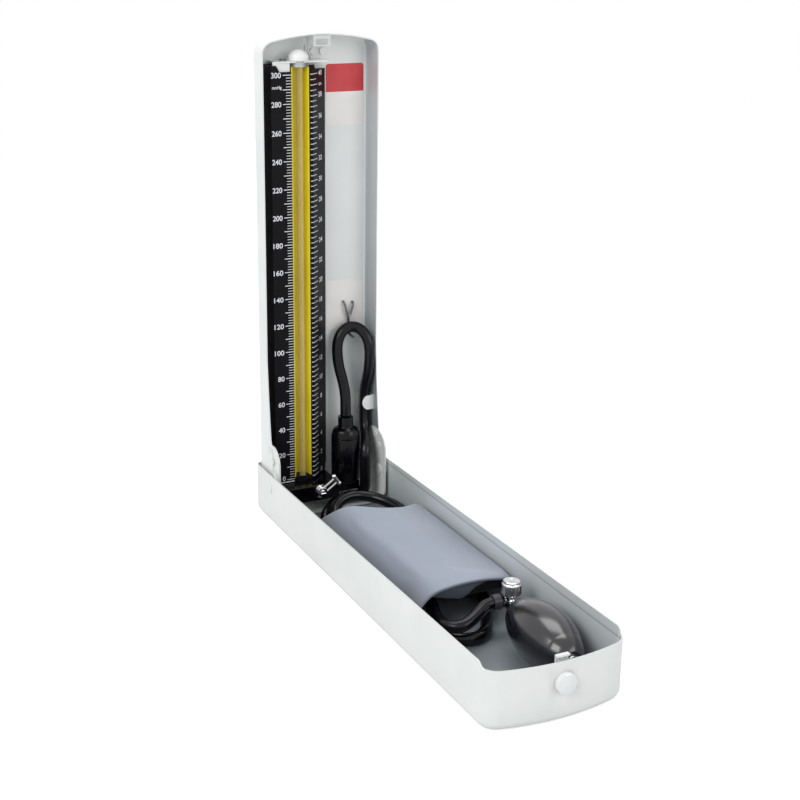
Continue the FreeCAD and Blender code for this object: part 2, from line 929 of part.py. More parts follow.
def slope_shift(thickness):
    """How far a sheet's inner face lies from its outer one, along X, on the slanted side."""
    run = S.panel_right + S.panel_fold
    rise = S.panel_depth + lid_back
    return thickness * root(run * run + rise * rise) / rise


def make_scale_panel():
    holder = body("panel_channel")
    height = panel_top - S.panel_bottom
    front = -S.panel_depth
    sketch = new_sketch(holder, "XY_Plane", S.panel_bottom)
    outer = [
        (-panel_left, lid_back),
        (-panel_left, front),
        (-S.panel_fold, front),
        (S.panel_right, lid_back),
    ]
    pad(holder, outline(sketch, outer), height)
    shift = slope_shift(S.panel_sheet)
    run = S.panel_right + S.panel_fold
    rise = S.panel_depth + lid_back
    per_mm = run / rise
    inside = front + S.panel_sheet
    foot = lid_back - S.panel_sheet
    inner = [
        (-panel_left + S.panel_sheet, foot),
        (-panel_left + S.panel_sheet, inside),
        (-S.panel_fold + S.panel_sheet * per_mm - shift, inside),
        (S.panel_right - S.panel_sheet * per_mm - shift, foot),
    ]
    pocket(holder, outline(new_sketch(holder, "XY_Plane", S.panel_bottom), inner), height, reverse=True)
    gap = new_sketch(holder, "XY_Plane", S.panel_bottom)
    rectangle(
        gap,
        (-panel_left + S.panel_sheet + S.panel_foot, foot - 1),
        (S.panel_right - S.panel_foot - shift, lid_back + 1),
    )
    pocket(holder, gap, height, reverse=True)
    window = new_sketch(holder, "XZ_Plane", S.panel_depth - 2)
    rectangle(window, (-S.window_left, S.window_bottom), (-S.window_right, panel_top + 1))
    pocket(holder, window, 6, reverse=True)
    notch = new_sketch(holder, "XZ_Plane", S.panel_depth - 2)
    left = [
        (-S.panel_notch_left, panel_top + 1),
        (-S.panel_notch_left + 3, panel_notch_bottom),
        (-S.window_left + 1, panel_notch_bottom),
        (-S.window_left + 1, panel_top + 1),
    ]
    pocket(holder, outline(notch, left), 6, reverse=True)
    corner = new_sketch(holder, "XZ_Plane")
    right = [
        (-S.panel_fold + 1.5, panel_top + 1),
        (-S.panel_fold + 3.5, panel_notch_bottom),
        (S.panel_right + 2, panel_notch_bottom),
        (S.panel_right + 2, panel_top + 1),
    ]
    pocket(holder, outline(corner, right), S.panel_depth + 2, reverse=True)
    foot_clearance = box(
        "panel_foot_clearance",
        (-S.base_width, foot - S.block_gap, 0),
        (S.base_width, lid_back + 1, hinge_z + 1),
    )
    bores = [foot_clearance]
    for number, (x, z) in enumerate(panel_rivet_spots()):
        bores.append(rod(f"panel_bore_{number}", "y", (x, z), S.rivet_radius - 0.3, foot - 2, 2))
    keep(cut("panel_drilled", holder, *bores), "scale_panel")
    rivets = []
    for number, spot in enumerate(panel_rivet_spots()):
        face = lid_back - S.panel_sheet
        name = f"panel_rivet_{number}"
        rivets.append(rivet(name, "y", spot, S.rivet_radius - 0.3, face, -S.lid_rear_gap))
    keep(group("panel_rivet_set", *rivets), "panel_rivets")


def make_tube_backing():
    holder = body("backing_channel")
    bottom = S.window_bottom + S.fit_gap
    height = backing_top - bottom
    front = -S.panel_depth + S.fit_gap
    rear = front + S.backing_depth
    left = -S.window_left + S.fit_gap
    right = -S.window_right - S.fit_gap
    outer = [
        (left, front),
        (right, front),
        (-S.backing_floor_right, rear),
        (-S.backing_floor_left, rear),
    ]
    pad(holder, outline(new_sketch(holder, "XY_Plane", bottom), outer), height)
    wall = S.backing_sheet
    inner = [
        (left + wall, front - 1),
        (right - wall, front - 1),
        (-S.backing_floor_right - wall, rear - wall),
        (-S.backing_floor_left + wall, rear - wall),
    ]
    pocket(holder, outline(new_sketch(holder, "XY_Plane", bottom), inner), height, reverse=True)
    keep(holder, "tube_backing")


# ---------------------------------------------------------------- tube and top hardware

tube_spot = (-S.tube_x, -S.tube_depth)
block_top = S.panel_bottom - S.block_gap
tube_foot = block_top - S.socket_depth + S.fit_gap
plate_top = plate_bottom + S.plate_sheet
tube_top = plate_top + S.tube_above_plate
leaf_top = plate_bottom + S.leaf_height
leaf_rivet_z = leaf_top - S.leaf_rivet_from_top


def tube_ring(name, node, outer, inner, bottom, top):
    ring = rod(name + "_outside", "z", tube_spot, outer, bottom, top)
    bore = rod(name + "_bore", "z", tube_spot, inner, bottom - 1, top + 1)
    keep(cut(name, ring, bore), node)


def make_tube():
    tube_ring("tube_glass", "glass_tube", S.tube_radius, S.tube_bore, tube_foot, tube_top)
    column = (S.tube_bore - S.mercury_gap, tube_foot, S.zero_height)
    keep(rod("tube_mercury", "z", tube_spot, *column), "mercury_column")
    around = S.tube_radius + S.mercury_gap
    tube_ring("tube_seal_ring", "tube_seal", S.seal_radius, around, tube_foot, block_top - S.fit_gap)
    ring_foot = backing_top + S.fit_gap
    tube_ring("tube_ring_form", "tube_top_ring", S.ring_radius, around, ring_foot, plate_top)


def make_tube_cap():
    bottom = plate_top + S.fit_gap
    bore = S.tube_radius + S.fit_gap
    shoulder = bottom + S.cap_side
    top = plate_top + S.cap_height
    rise = top - shoulder
    dome = (S.cap_radius * S.cap_radius + rise * rise) / (2 * rise)
    roof = tube_top + S.fit_gap
    points = [
        (bore, bottom),
        (S.cap_radius, bottom),
        (S.cap_radius, shoulder),
        (0, top),
        (0, roof),
        (bore, roof),
    ]
    cap = turned("tube_cap_form", points, {2: dome})
    put(cap, *tube_spot, 0)
    keep(cap, "tube_cap")


def leaf_rivet_spots():
    return [S.leaf_rivet_one, S.leaf_rivet_two]


def make_top_bracket():
    plate = box(
        "bracket_plate",
        (-panel_left + S.plate_inset, -S.plate_front, plate_bottom),
        (S.plate_right, lid_back, plate_top),
    )
    apron_front = -S.panel_depth + S.panel_sheet + S.fit_gap
    apron = box(
        "bracket_apron",
        (-panel_left + S.apron_inset, apron_front, panel_notch_bottom - S.apron_below_notch),
        (-S.window_left - S.apron_gap, apron_front + S.plate_sheet, plate_top),
    )
    leaf = box(
        "bracket_leaf",
        (-S.leaf_left, lid_back - S.leaf_sheet, plate_bottom),
        (S.leaf_right, lid_back, leaf_top),
    )
    through = (plate_bottom - S.drill_past, plate_top + S.drill_past)
    tools = [
        rod("bracket_ring_bore", "z", tube_spot, S.ring_radius + S.fit_gap, *through),
        rod("bracket_screw_bore", "z", screw_spot(), S.plate_screw_radius, *through),
    ]
    leaf_back = lid_back + S.drill_past
    leaf_front = lid_back - S.leaf_sheet - S.drill_past
    for number, x in enumerate(leaf_rivet_spots()):
        bore = (f"leaf_bore_{number}", "y", (x, leaf_rivet_z), S.rivet_radius)
        tools.append(rod(*bore, leaf_front, leaf_back))
    keep(cut("bracket_drilled", fuse("bracket_angle", plate, apron, leaf), *tools), "top_bracket")
    rivets = []
    for number, x in enumerate(leaf_rivet_spots()):
        ends = (lid_back - S.leaf_sheet, -S.lid_rear_gap)
        stud = (f"leaf_rivet_{number}", "y", (x, leaf_rivet_z), S.rivet_radius, *ends, S.leaf_rivet_stud)
        rivets.append(rivet(*stud))
    keep(group("leaf_rivet_pair", *rivets), "bracket_rivets")
    head_top = plate_top + S.plate_screw_head_height
    foot = plate_bottom - S.plate_screw_below
    head = rod("plate_screw_head_form", "z", screw_spot(), S.plate_screw_head, plate_top, head_top)
    shank = rod("plate_screw_shank", "z", screw_spot(), S.plate_screw_radius, foot, plate_top)
    keep(fuse("plate_screw", head, shank), "bracket_screw")


def screw_spot():
    return (-S.plate_screw_x, -S.plate_screw_depth)


def make_cap_keeper():
    y = -13
    points = [
        (-7.4, y, lid_top - S.lid_sheet - 0.25),
        (-7.7, y, plate_top + 8.2),
        (-5.0, y, plate_top + S.fit_gap),
    ]
    wire, _length, _radii = swept(points, S.keeper_radius)
    keep_shape(wire, "cap_keeper")


def make_striker():
    mouth = when_shut(as_size(0), S.rim_front + S.rim_seat_gap)[0]
    face = mouth - 0.1
    top = lid_top - S.lid_sheet - 0.3
    half = S.striker_half
    lip = box("striker_lip", (-half, face, top - S.striker_reach), (half, face + S.striker_sheet, top))
    leaf = box("striker_leaf", (-half, face, top - S.striker_sheet), (half, face + S.striker_leaf, top))
    window = box(
        "striker_window",
        (-S.window_half, face - 1, top - S.window_front - S.window_depth),
        (S.window_half, face + S.striker_sheet + 1, top - S.window_front),
    )
    keep(cut("striker_form", fuse("striker_angle", lip, leaf), window), "latch_striker")


# ---------------------------------------------------------------- valve block


def block_screw_spots():
    return [-block_left + S.block_screw_inset, -S.block_screw_right]


def make_valve_block():
    holder = body("block_main")
    front = -S.block_front
    rear = -S.block_rear
    side = [
        (front, S.block_bottom),
        (rear - 9.8, S.block_bottom),
        (rear - 5.8, S.block_bottom + 2.8),
        (rear - 0.6, block_top - 1),
        (rear - 0.6, block_top),
        (front + S.block_chamfer, block_top),
        (front, block_top - S.block_chamfer),
    ]
    width = block_left + S.block_right
    pad(holder, outline(new_sketch(holder, "YZ_Plane", -block_left), side), width)
    tongue = body("block_tongue")
    profile = [
        (rear - S.tongue_sheet, block_top - 1),
        (rear - 0.7, block_top - 1),
        (rear, block_top + 2.5),
        (rear, S.tongue_top),
        (rear - S.tongue_sheet, S.tongue_top),
    ]
    sketch = outline(new_sketch(tongue, "YZ_Plane", -S.tongue_left), profile)
    pad(tongue, sketch, S.tongue_left - S.tongue_right)
    foot = box(
        "block_foot",
        (S.foot_left, -S.foot_front, S.block_bottom),
        (S.foot_right, -S.foot_rear, S.foot_top),
    )
    depth = -S.drilling_depth
    high = S.valve_height
    low = S.drilling_low
    hole = S.drilling
    fine = hole * 0.9
    wide = hole * 1.1
    past = hole / 4
    res_x = S.reservoir_x
    turn_x = S.drilling_turn
    socket = block_top - S.socket_depth
    tools = [
        rod("block_socket", "z", tube_spot, S.seal_radius + S.mercury_gap, socket, block_top + 1),
        rod("block_plug_bore", "y", valve_spot(), S.plug_radius + S.running_gap, front - 1, plug_end()),
        rod("block_drill_1", "z", tube_spot, fine, high - past, socket + 1),
        rod("block_drill_2", "y", (-S.tube_x, high), hole, depth - past, past - S.tube_depth),
        rod("block_drill_3", "x", (depth, high), wide, -S.tube_x - past, turn_x + past),
        rod("block_drill_4", "z", (turn_x, depth), fine, low - past, high + past),
        rod("block_drill_5", "x", (depth, low), wide, turn_x - past, res_x + past),
        rod("block_drill_6", "y", (res_x, low), hole, depth - past, past - S.reservoir_depth),
        rod("block_drill_7", "z", (res_x, -S.reservoir_depth), fine, low - past, S.foot_top + 1),
    ]
    for number, x in enumerate(block_screw_spots()):
        place = (x, S.block_screw_height)
        tools.append(rod(f"block_screw_bore_{number}", "y", place, S.block_screw_radius, rear - 3, 0))
    keep(cut("block_drilled", fuse("block_casting", holder, tongue, foot), *tools), "valve_block")
    screws = []
    for number, x in enumerate(block_screw_spots()):
        place = (x, S.block_screw_height)
        shank = rod(f"block_screw_shank_{number}", "y", place, S.block_screw_radius, rear - 3, -1.6)
        head_radius = S.block_screw_radius + 1.1
        head = rod(f"block_screw_head_{number}", "y", place, head_radius, -S.lid_rear_gap, -1.6)
        screws.append(fuse(f"block_screw_{number}", shank, head))
    keep(group("block_screw_pair", *screws), "block_screws")


# ---------------------------------------------------------------- shut-off valve


def valve_spot():
    return (-S.valve_x, S.valve_height)


def plug_end():
    return -S.block_front + S.plug_length + S.plug_end_gap


def make_shut_off_valve():
    front = -S.block_front
    gland_face = front - S.gland
    hub_back = gland_face - S.hub_gap
    hub_face = hub_back - S.hub
    middle = hub_back - S.hub / 2
    plug = rod("plug_body", "y", valve_spot(), S.plug_radius, front + 0.1, front + S.plug_length)
    stem = rod("plug_stem", "y", valve_spot(), S.stem_radius, hub_back, front + 1)
    port_spot = (-S.drilling_depth, S.valve_height)
    port = rod("plug_port", "x", port_spot, S.drilling, -S.valve_x - 9, -S.valve_x + 9)
    tapped = rod(
        "plug_tapping", "y", valve_spot(), S.lever_screw_radius, hub_face - 1, hub_face + S.lever_screw_depth
    )
    keep(cut("plug_drilled", fuse("plug_turned", plug, stem), port, tapped), "valve_plug")
    nut = rod("gland_outside", "y", valve_spot(), S.gland_radius, gland_face, front)
    bore = rod("gland_bore", "y", valve_spot(), S.stem_radius + S.running_gap, gland_face - 1, front + 1)
    keep(cut("gland_form", nut, bore), "valve_gland_nut")
    hub = rod("lever_hub", "y", valve_spot(), S.hub_radius, hub_face, hub_back)
    screw_bore = rod("lever_bore", "y", valve_spot(), S.lever_screw_radius, hub_face - 1, hub_back + 1)
    turn = Rotation(Vector(0, 1, 0), 90 - S.lever_angle.value)
    along_x = cosine(S.lever_angle)
    along_z = sine(S.lever_angle)
    rods = []
    for number, side in enumerate((-1, 1)):
        arm = doc.addObject("Part::Cylinder", f"lever_rod_{number}")
        arm.Placement = Placement(Vector(), turn)
        bind(arm, "Radius", S.lever_rod_radius)
        bind(arm, "Height", S.lever_length)
        shift = side * S.lever_rod_spacing
        put(arm, -S.valve_x - shift * along_z, middle, S.valve_height + shift * along_x)
        rods.append(arm)
    bar = doc.addObject("Part::Cylinder", "lever_bar_form")
    bar.Placement = Placement(Vector(), Rotation(Vector(0, 1, 0), -S.lever_angle.value))
    bind(bar, "Radius", S.lever_bar_radius)
    bind(bar, "Height", S.lever_bar)
    tip_x = -S.valve_x + S.lever_length * along_x
    tip_z = S.valve_height + S.lever_length * along_z
    half_bar = S.lever_bar / 2
    put(bar, tip_x + half_bar * along_z, middle, tip_z - half_bar * along_x)
    balls = []
    for number, side in enumerate((-1, 1)):
        ball = doc.addObject("Part::Sphere", f"lever_ball_{number}")
        bind(ball, "Radius", S.lever_bar_radius + 0.3)
        put(ball, tip_x - side * half_bar * along_z, middle, tip_z + side * half_bar * along_x)
        balls.append(ball)
    lever = cut("lever_bored", fuse("lever_form", hub, *rods, bar, *balls), screw_bore)
    keep(lever, "valve_lever")
    head_face = hub_face - S.lever_screw_rise
    head = rod("lever_screw_head_form", "y", valve_spot(), S.lever_screw_head, head_face, hub_face)
    reach = hub_face + S.lever_screw_depth - 0.2
    shank = rod("lever_screw_shank", "y", valve_spot(), S.lever_screw_radius - 0.05, head_face, reach)
    slot = box(
        "lever_screw_slot",
        (-S.valve_x - S.lever_screw_head, head_face - 1, S.valve_height - 0.25),
        (-S.valve_x + S.lever_screw_head, head_face + 0.5, S.valve_height + 0.25),
    )
    keep(cut("lever_screw_form", fuse("lever_screw_turned", head, shank), slot), "lever_screw")


# ---------------------------------------------------------------- reservoir

reservoir_foot = S.foot_top + S.gasket
reservoir_top = reservoir_foot + S.reservoir_side
reservoir_bore = S.reservoir_radius - S.reservoir_wall
seat = reservoir_top - S.filter_seat


def stand_reservoir(name, node, points, arcs=None):
    form = turned(name, points, arcs)
    put(form, S.reservoir_x, -S.reservoir_depth, 0)
    keep(form, node)


def make_reservoir():
    outer = S.reservoir_radius
    hole = S.drilling
    ledge = S.filter_radius + S.soft_gap
    cavity = reservoir_foot + S.reservoir_floor
    gasket_foot = S.foot_top
    stand_reservoir(
        "gasket_form",
        "reservoir_gasket",
        [
            (hole, gasket_foot),
            (S.gasket_radius, gasket_foot),
            (S.gasket_radius, reservoir_foot),
            (hole, reservoir_foot),
        ],
    )
    stand_reservoir(
        "reservoir_pot",
        "reservoir_body",
        [
            (hole, reservoir_foot),
            (outer, reservoir_foot),
            (outer, reservoir_top),
            (ledge, reservoir_top),
            (ledge, seat),
            (reservoir_bore, seat),
            (reservoir_bore, cavity),
            (hole, cavity),
        ],
    )
    fill = reservoir_bore - S.mercury_gap
    level = cavity + S.reservoir_fill
    stand_reservoir(
        "reservoir_liquid",
        "reservoir_mercury",
        [(0, cavity), (fill, cavity), (fill, level), (0, level)],
    )
    disc_top = seat + S.filter
    stand_reservoir(
        "filter_form",
        "reservoir_filter",
        [(0, seat), (S.filter_radius, seat), (S.filter_radius, disc_top), (0, disc_top)],
    )
    spigot = S.filter_radius
    shoulder = reservoir_top + S.shoulder
    drop = outer - S.neck_radius
    round_ = S.shoulder
    stand_reservoir(
        "reservoir_lid",
        "reservoir_cap",
        [
            (S.cap_cavity, disc_top),
            (spigot, disc_top),
            (spigot, reservoir_top),
            (outer, reservoir_top),
            (outer - drop * 0.35, reservoir_top + round_ * 0.75),
            (S.neck_radius, shoulder),
            (S.neck_radius, S.neck_top),
            (S.nipple_bore, S.neck_top),
            (S.nipple_bore, reservoir_top + 3),
            (S.cap_cavity, reservoir_top),
        ],
        {3: 2 * S.shoulder},
    )


# ---------------------------------------------------------------- labels, hook and clip


def make_labels():
    right = lid_inner - S.label_side_gap
    upper_top = lid_top - S.upper_label_below_lid_top
    spans = (
        ("upper", upper_top - S.upper_label_height, upper_top),
        ("lower", S.lower_label_bottom, S.lower_label_top),
    )
    for name, bottom, top in spans:
        low = (S.label_left, lid_back - S.label, bottom)
        keep(box(f"{name}_label_form", low, (right, lid_back, top)), f"{name}_label")


def make_hose_hook():
    # A wire V on the lid's back, whose tail passes behind the hose and under its loop.
    face = lid_back - S.label
    vee = [
        (23.6, face - 0.06, 154.5),
        (23.6, face - 1.9, 154.4),
        (24.2, face - 2.6, 151.6),
        (26.9, face - 2.4, 139.8),
        (30.3, face - 2.6, 150.6),
        (30.9, face - 1.8, 153.4),
        (30.9, face - 0.06, 153.5),
    ]
    tail = [
        (26.9, face - 2.2, 145.0),
        (27.3, face - 1.3, 139.5),
        (27.6, face - 1.1, 133.5),
        (27.8, face - 1.6, 129.9),
        (27.8, face - 5.0, 129.2),
        (27.8, face - 9.4, 129.0),
        (27.8, face - 11.4, 130.6),
    ]
    first, _length, _radii = swept(vee, S.hook_wire)
    second, _length, _radii = swept(tail, S.hook_wire)
    keep_shape(first.fuse(second).removeSplitter(), "hose_hook")


def make_hose_clip():
    holder = body("clip_front")
    reach = S.hose_radius + 4 * S.soft_gap
    face = -S.clip_depth - reach
    half = S.clip_height / 2
    top = S.clip_bottom + S.clip_height
    points = [
        (S.clip_round_x, S.clip_bottom),
        (lid_inner, S.clip_bottom),
        (lid_inner, top),
        (S.clip_round_x, top),
    ]
    sketch = outline(new_sketch(holder, "XZ_Plane", -face), points, {3: half + 0.2})
    pad(holder, sketch, S.clip_sheet)
    wall = box(
        "clip_wall",
        (lid_inner - S.clip_sheet, face - S.clip_sheet, S.clip_bottom),
        (lid_inner, -S.clip_depth + reach + S.clip_sheet, top),
    )
    back = box(
        "clip_back",
        (S.clip_round_x - half + 1, -S.clip_depth + reach, S.clip_bottom),
        (lid_inner, -S.clip_depth + reach + S.clip_sheet, top),
    )
    keep(fuse("clip_form", holder, wall, back), "hose_clip")


# ---------------------------------------------------------------- hoses


def make_hoses():
    bend_low = hinge_z - S.bend_reach
    bend_high = hinge_z + S.bend_reach
    bend = (S.bend_x, hinge_y)
    lid_route = [
        (S.reservoir_x, -S.reservoir_depth, S.neck_top),
        (S.reservoir_x, -S.reservoir_depth, 78),
        (19.9, -15.6, 86.5),
        (18.8, -14.0, 96),
        (16.1, -12.0, 107.7),
        (15.4, -10.5, 119.5),
        (16.6, -9.7, 127.6),
        (20.0, -9.2, 133.4),
        (25.2, -9.2, 136.6),
        (31.2, -10.6, 136.2),
        (35.6, -13.6, 132.6),
        (38.2, -17.0, 126),
        (38.6, -18.4, 117),
        (38.5, -17.0, 103),
        (37.7, -S.clip_depth, 87),
        (37.6, -S.clip_depth, 69),
        (36.9, -14.0, 58),
        (34.6, -21.5, 52),
        (31.2, -27.6, 47),
        (*bend, 42),
        (*bend, bend_high),
    ]
    hose(lid_route, "reservoir_hose")
    keep(rod("hose_bend_form", "z", bend, S.hose_radius, bend_low, bend_high), "hose_bend")
    joiner_start = (-S.joiner_x, -S.joiner_depth, floor + S.hose_radius + 0.3)
    base_route = [
        (*bend, bend_low),
        (*bend, 16),
        (27.6, -28.2, 10.8),
        (22.9, -25.6, 8.2),
        (15.4, -23.6, 7.8),
        (7, -27.4, 8),
        (-1.5, -35.6, 7),
        (-9.6, -45, 5.8),
        (-15.2, -57.5, 5.3),
        (-19, -75, 5.3),
        (-22, -97, 5.3),
        (-23, -122, 5.3),
        (-22, -148, 5.3),
        (-24, -172, 5.3),
        (-26.4, -195, 5.3),
        (-26, -216, 5.3),
        (-22.5, -236, 5.3),
        (-13.5, -250, 5.3),
        (-1.5, -255, 5.3),
        (9, -249, 5.3),
        (16, -238, 5.3),
        (24, -224, 5.3),
        (31, -208, 5.3),
        (36.5, -189, 5.3),
        (38.6, -166, 5.3),
        (38.2, -142, 5.3),
        (39.2, -120, 5.3),
        (39.3, -105, 5.3),
        (39.6, -90.5, 5.3),
        (39.9, -83, 8.6),
        (39.2, -74, 12.6),
        (35.4, -62, 14.4),
        (29.2, -52, 15.6),
        (20.6, -46.4, 17),
        (10.5, -45.2, 18.4),
        (0.6, -47, 16.2),
        (-6, -52, 11.6),
        (-7.4, -61, 7),
        (-8.2, -71, 5.4),
        (-S.joiner_x, -80.5, 5.3),
        joiner_start,
    ]
    hose(base_route, "base_hose")
    return joiner_start


def make_joiner(start):
    x, y, z = start
    end = y - S.joiner_length
    flange_end = end + S.joiner_flange_from
    flange_ends = (flange_end, flange_end + S.joiner_flange_length)
    pipe = rod("joiner_pipe", "y", (x, z), S.joiner_radius, end, y)
    flange = rod("joiner_flange_form", "y", (x, z), S.joiner_flange, *flange_ends)
    bore = rod("joiner_bore", "y", (x, z), S.nozzle_radius, end - 1, y + 1)
    keep(cut("joiner_form", fuse("joiner_solid", pipe, flange), bore), "hose_joiner")
    route = [
        (x, end, z),
        (x, end - 6, z),
        (x, end - 15, z + 2.6),
        (x, end - 25, z + 8.4),
        (x, end - 34, pocket_middle),
        (x, -S.bladder_rear, pocket_middle),
    ]
    hose(route, "cuff_tube")


# ---------------------------------------------------------------- cuff


def make_cuff():
    holder = body("cuff_folded")
    half = cuff_half
    corner = as_size(6)
    front_mid = S.base_length - S.cuff_front_mid
    front_right = S.base_length - S.cuff_front_right
    flap_from = cuff_front_left - S.flap_length
    plan = [
        (-half + corner, -S.cuff_rear_left),
        (-half, -S.cuff_rear_left - corner),
        (-half, -cuff_front_left + corner),
        (-half + corner, -cuff_front_left),
        (S.cuff_front_mid_x, -front_mid),
        (half - corner, -front_right),
        (half, -front_right + corner),
        (half, -S.cuff_rear_right - corner),
        (half - corner, -S.cuff_rear_right),
        (S.cuff_mid_x, -S.cuff_rear_mid),
    ]
    arcs = {0: corner, 2: corner, 5: corner, 7: corner}
    bottom = S.cuff_bottom
    pad(holder, outline(new_sketch(holder, "XY_Plane", bottom), plan, arcs), S.cuff_crown - bottom)
    rise = S.cuff_crown - S.cuff_side_height
    crown = (half * half + rise * rise) / (2 * rise)
    above = new_sketch(holder, "XZ_Plane")
    over = [
        (half, S.cuff_side_height),
        (0, S.cuff_crown),
        (-half, S.cuff_side_height),
        (-half - 2, S.cuff_side_height),
        (-half - 2, S.cuff_crown + 5),
        (half + 2, S.cuff_crown + 5),
        (half + 2, S.cuff_side_height),
    ]
    pocket(holder, outline(above, over, {0: crown, 1: crown}), 2 * S.base_length, symmetric=True)
    under = new_sketch(holder, "YZ_Plane")
    rectangle(under, (-cuff_front_left - 5, bottom - 1), (-flap_from, S.flap_bottom))
    pocket(holder, under, 4 * half, symmetric=True)
    slot = new_sketch(holder, "XZ_Plane", S.pocket_rear)
    roof = S.pocket_bottom + S.pocket_height
    rectangle(slot, (-S.pocket_half, S.pocket_bottom), (S.pocket_half, roof))
    pocket(holder, slot, S.base_length, reverse=True)
    reach = S.hose_radius + S.tube_slot_gap
    slot = box(
        "cuff_tube_slot",
        (-S.joiner_x - reach, -S.bladder_rear - 4, 0),
        (-S.joiner_x + reach, -S.joiner_depth - S.joiner_length, S.pocket_bottom + 1),
    )
    keep(cut("cuff_form", holder, slot), "cuff")


def make_bladder():
    holder = body("bladder_form")
    gap = S.bladder_gap
    half = S.pocket_half - gap
    bottom = S.pocket_bottom + gap
    height = S.pocket_height - 2 * gap
    sketch = new_sketch(holder, "XY_Plane", bottom)
    rectangle(sketch, (-half, -bladder_front), (half, -S.bladder_rear))
    block = pad(holder, sketch, height)
    fillet(holder, block, lambda edge: edge.BoundBox.ZLength > 1, S.bladder_edge)
    keep(holder, "cuff_bladder")


# ---------------------------------------------------------------- bulb and release valve

bulb_turn = Rotation(Vector(0, 0, 1), -S.bulb_yaw.value).multiply(Rotation(Vector(1, 0, 0), -90))
bulb_x = base_inner - S.bulb_side_gap - S.bulb_radius
bulb_spot = (bulb_x, S.bulb_from_front - S.base_length, floor + S.bulb_gap + S.bulb_radius)
bulb_ahead_x = sine(S.bulb_yaw)
bulb_ahead_y = cosine(S.bulb_yaw)


def lay_along_bulb(obj, node):
    """Lay a form made about Z along the bulb, its Z towards the release valve."""
    obj.Placement = Placement(Vector(), bulb_turn)
    put(obj, *bulb_spot)
    keep(obj, node)


def bulb_profile(inset):
    radius = S.bulb_radius - inset
    shoulder_radius = S.bulb_shoulder_radius - inset
    shoulder = S.bulb_shoulder
    drop = radius - shoulder_radius
    side = (shoulder * shoulder + drop * drop) / (2 * drop)
    return radius, shoulder_radius, shoulder, side


def bulb_form(name, inset, neck, end):
    radius, shoulder_radius, shoulder, side = bulb_profile(inset)
    points = [
        (0, -end),
        (neck, -end),
        (shoulder_radius, -shoulder),
        (radius, 0),
        (shoulder_radius, shoulder),
        (neck, end),
        (0, end),
    ]
    round_ = S.bulb_shoulder_round - inset
    return turned(name, points, {1: round_, 2: side, 3: side, 4: round_})


def make_bulb():
    outer = bulb_form("bulb_outside", as_size(0), S.bulb_neck + S.bulb_wall, S.bulb_half)
    neck = S.spigot_radius + S.fit_gap
    inner = bulb_form("bulb_hollow", S.bulb_wall, S.bulb_neck, S.bulb_half - S.bulb_wall)
    bore = rod("bulb_bore", "z", (0, 0), neck, -S.bulb_half - 1, S.bulb_half + 1)
    lay_along_bulb(cut("bulb_form", outer, inner, bore), "bulb")


def make_intake_valve():
    end = -S.bulb_half
    head = rod("intake_head", "z", (0, 0), S.intake_radius, end - S.intake, end)
    spigot = rod("intake_spigot_form", "z", (0, 0), S.spigot_radius, end, end + S.intake_spigot)
    hole = rod("intake_hole", "z", (0, 0), 0.8, end - S.intake - 1, end + S.intake_spigot + 1)
    lay_along_bulb(cut("intake_form", fuse("intake_solid", head, spigot), hole), "bulb_intake_valve")


def make_release_valve():
    end = S.bulb_half
    body_end = end + S.valve_flange + S.valve_body
    spigot = rod("release_spigot", "z", (0, 0), S.spigot_radius, end - S.valve_spigot, end)
    flange = rod("release_flange", "z", (0, 0), S.valve_flange_radius, end, end + S.valve_flange)
    barrel = rod("release_barrel", "z", (0, 0), S.valve_body_radius, end, body_end)
    boss_top = S.valve_body_radius + S.boss
    # In the bulb's own frame Y points down and X to the right.
    boss = rod("release_boss", "y", (0, S.boss_from_bulb), S.boss_radius, -boss_top, 0)
    tapped = rod("release_tapping", "y", (0, S.boss_from_bulb), S.boss_bore, -boss_top - 1, -2.6)
    nozzle_end = S.valve_body_radius + S.nozzle_reach
    nozzle_z = body_end - 4.4
    nozzle = rod("release_nozzle", "x", (-S.nozzle_rise, nozzle_z), S.nozzle_radius, -nozzle_end, 0)
    hole = rod("release_hole", "z", (0, 0), 0.8, end - S.valve_spigot - 1, body_end - 3)
    solid = fuse("release_solid", spigot, flange, barrel, boss, nozzle)
    lay_along_bulb(cut("release_form", solid, hole, tapped), "release_valve_body")
    knob_foot = boss_top + S.knob_gap
    knob = rod("knob_grip", "y", (0, S.boss_from_bulb), S.knob_radius, -knob_foot - S.knob, -knob_foot)
    stem_end = -knob_foot + S.knob_gap + S.knob_stem_length
    stem = rod("knob_stem_form", "y", (0, S.boss_from_bulb), S.knob_stem, -knob_foot - 1, stem_end)
    lay_along_bulb(fuse("knob_form", knob, stem), "release_valve_knob")
    return nozzle_end, nozzle_z


def in_bulb_frame(x, y, z):
    """A point of the bulb's own frame, in the design frame."""
    return (
        bulb_spot[0] + x * bulb_ahead_y + z * bulb_ahead_x,
        bulb_spot[1] - x * bulb_ahead_x + z * bulb_ahead_y,
        bulb_spot[2] - y,
    )


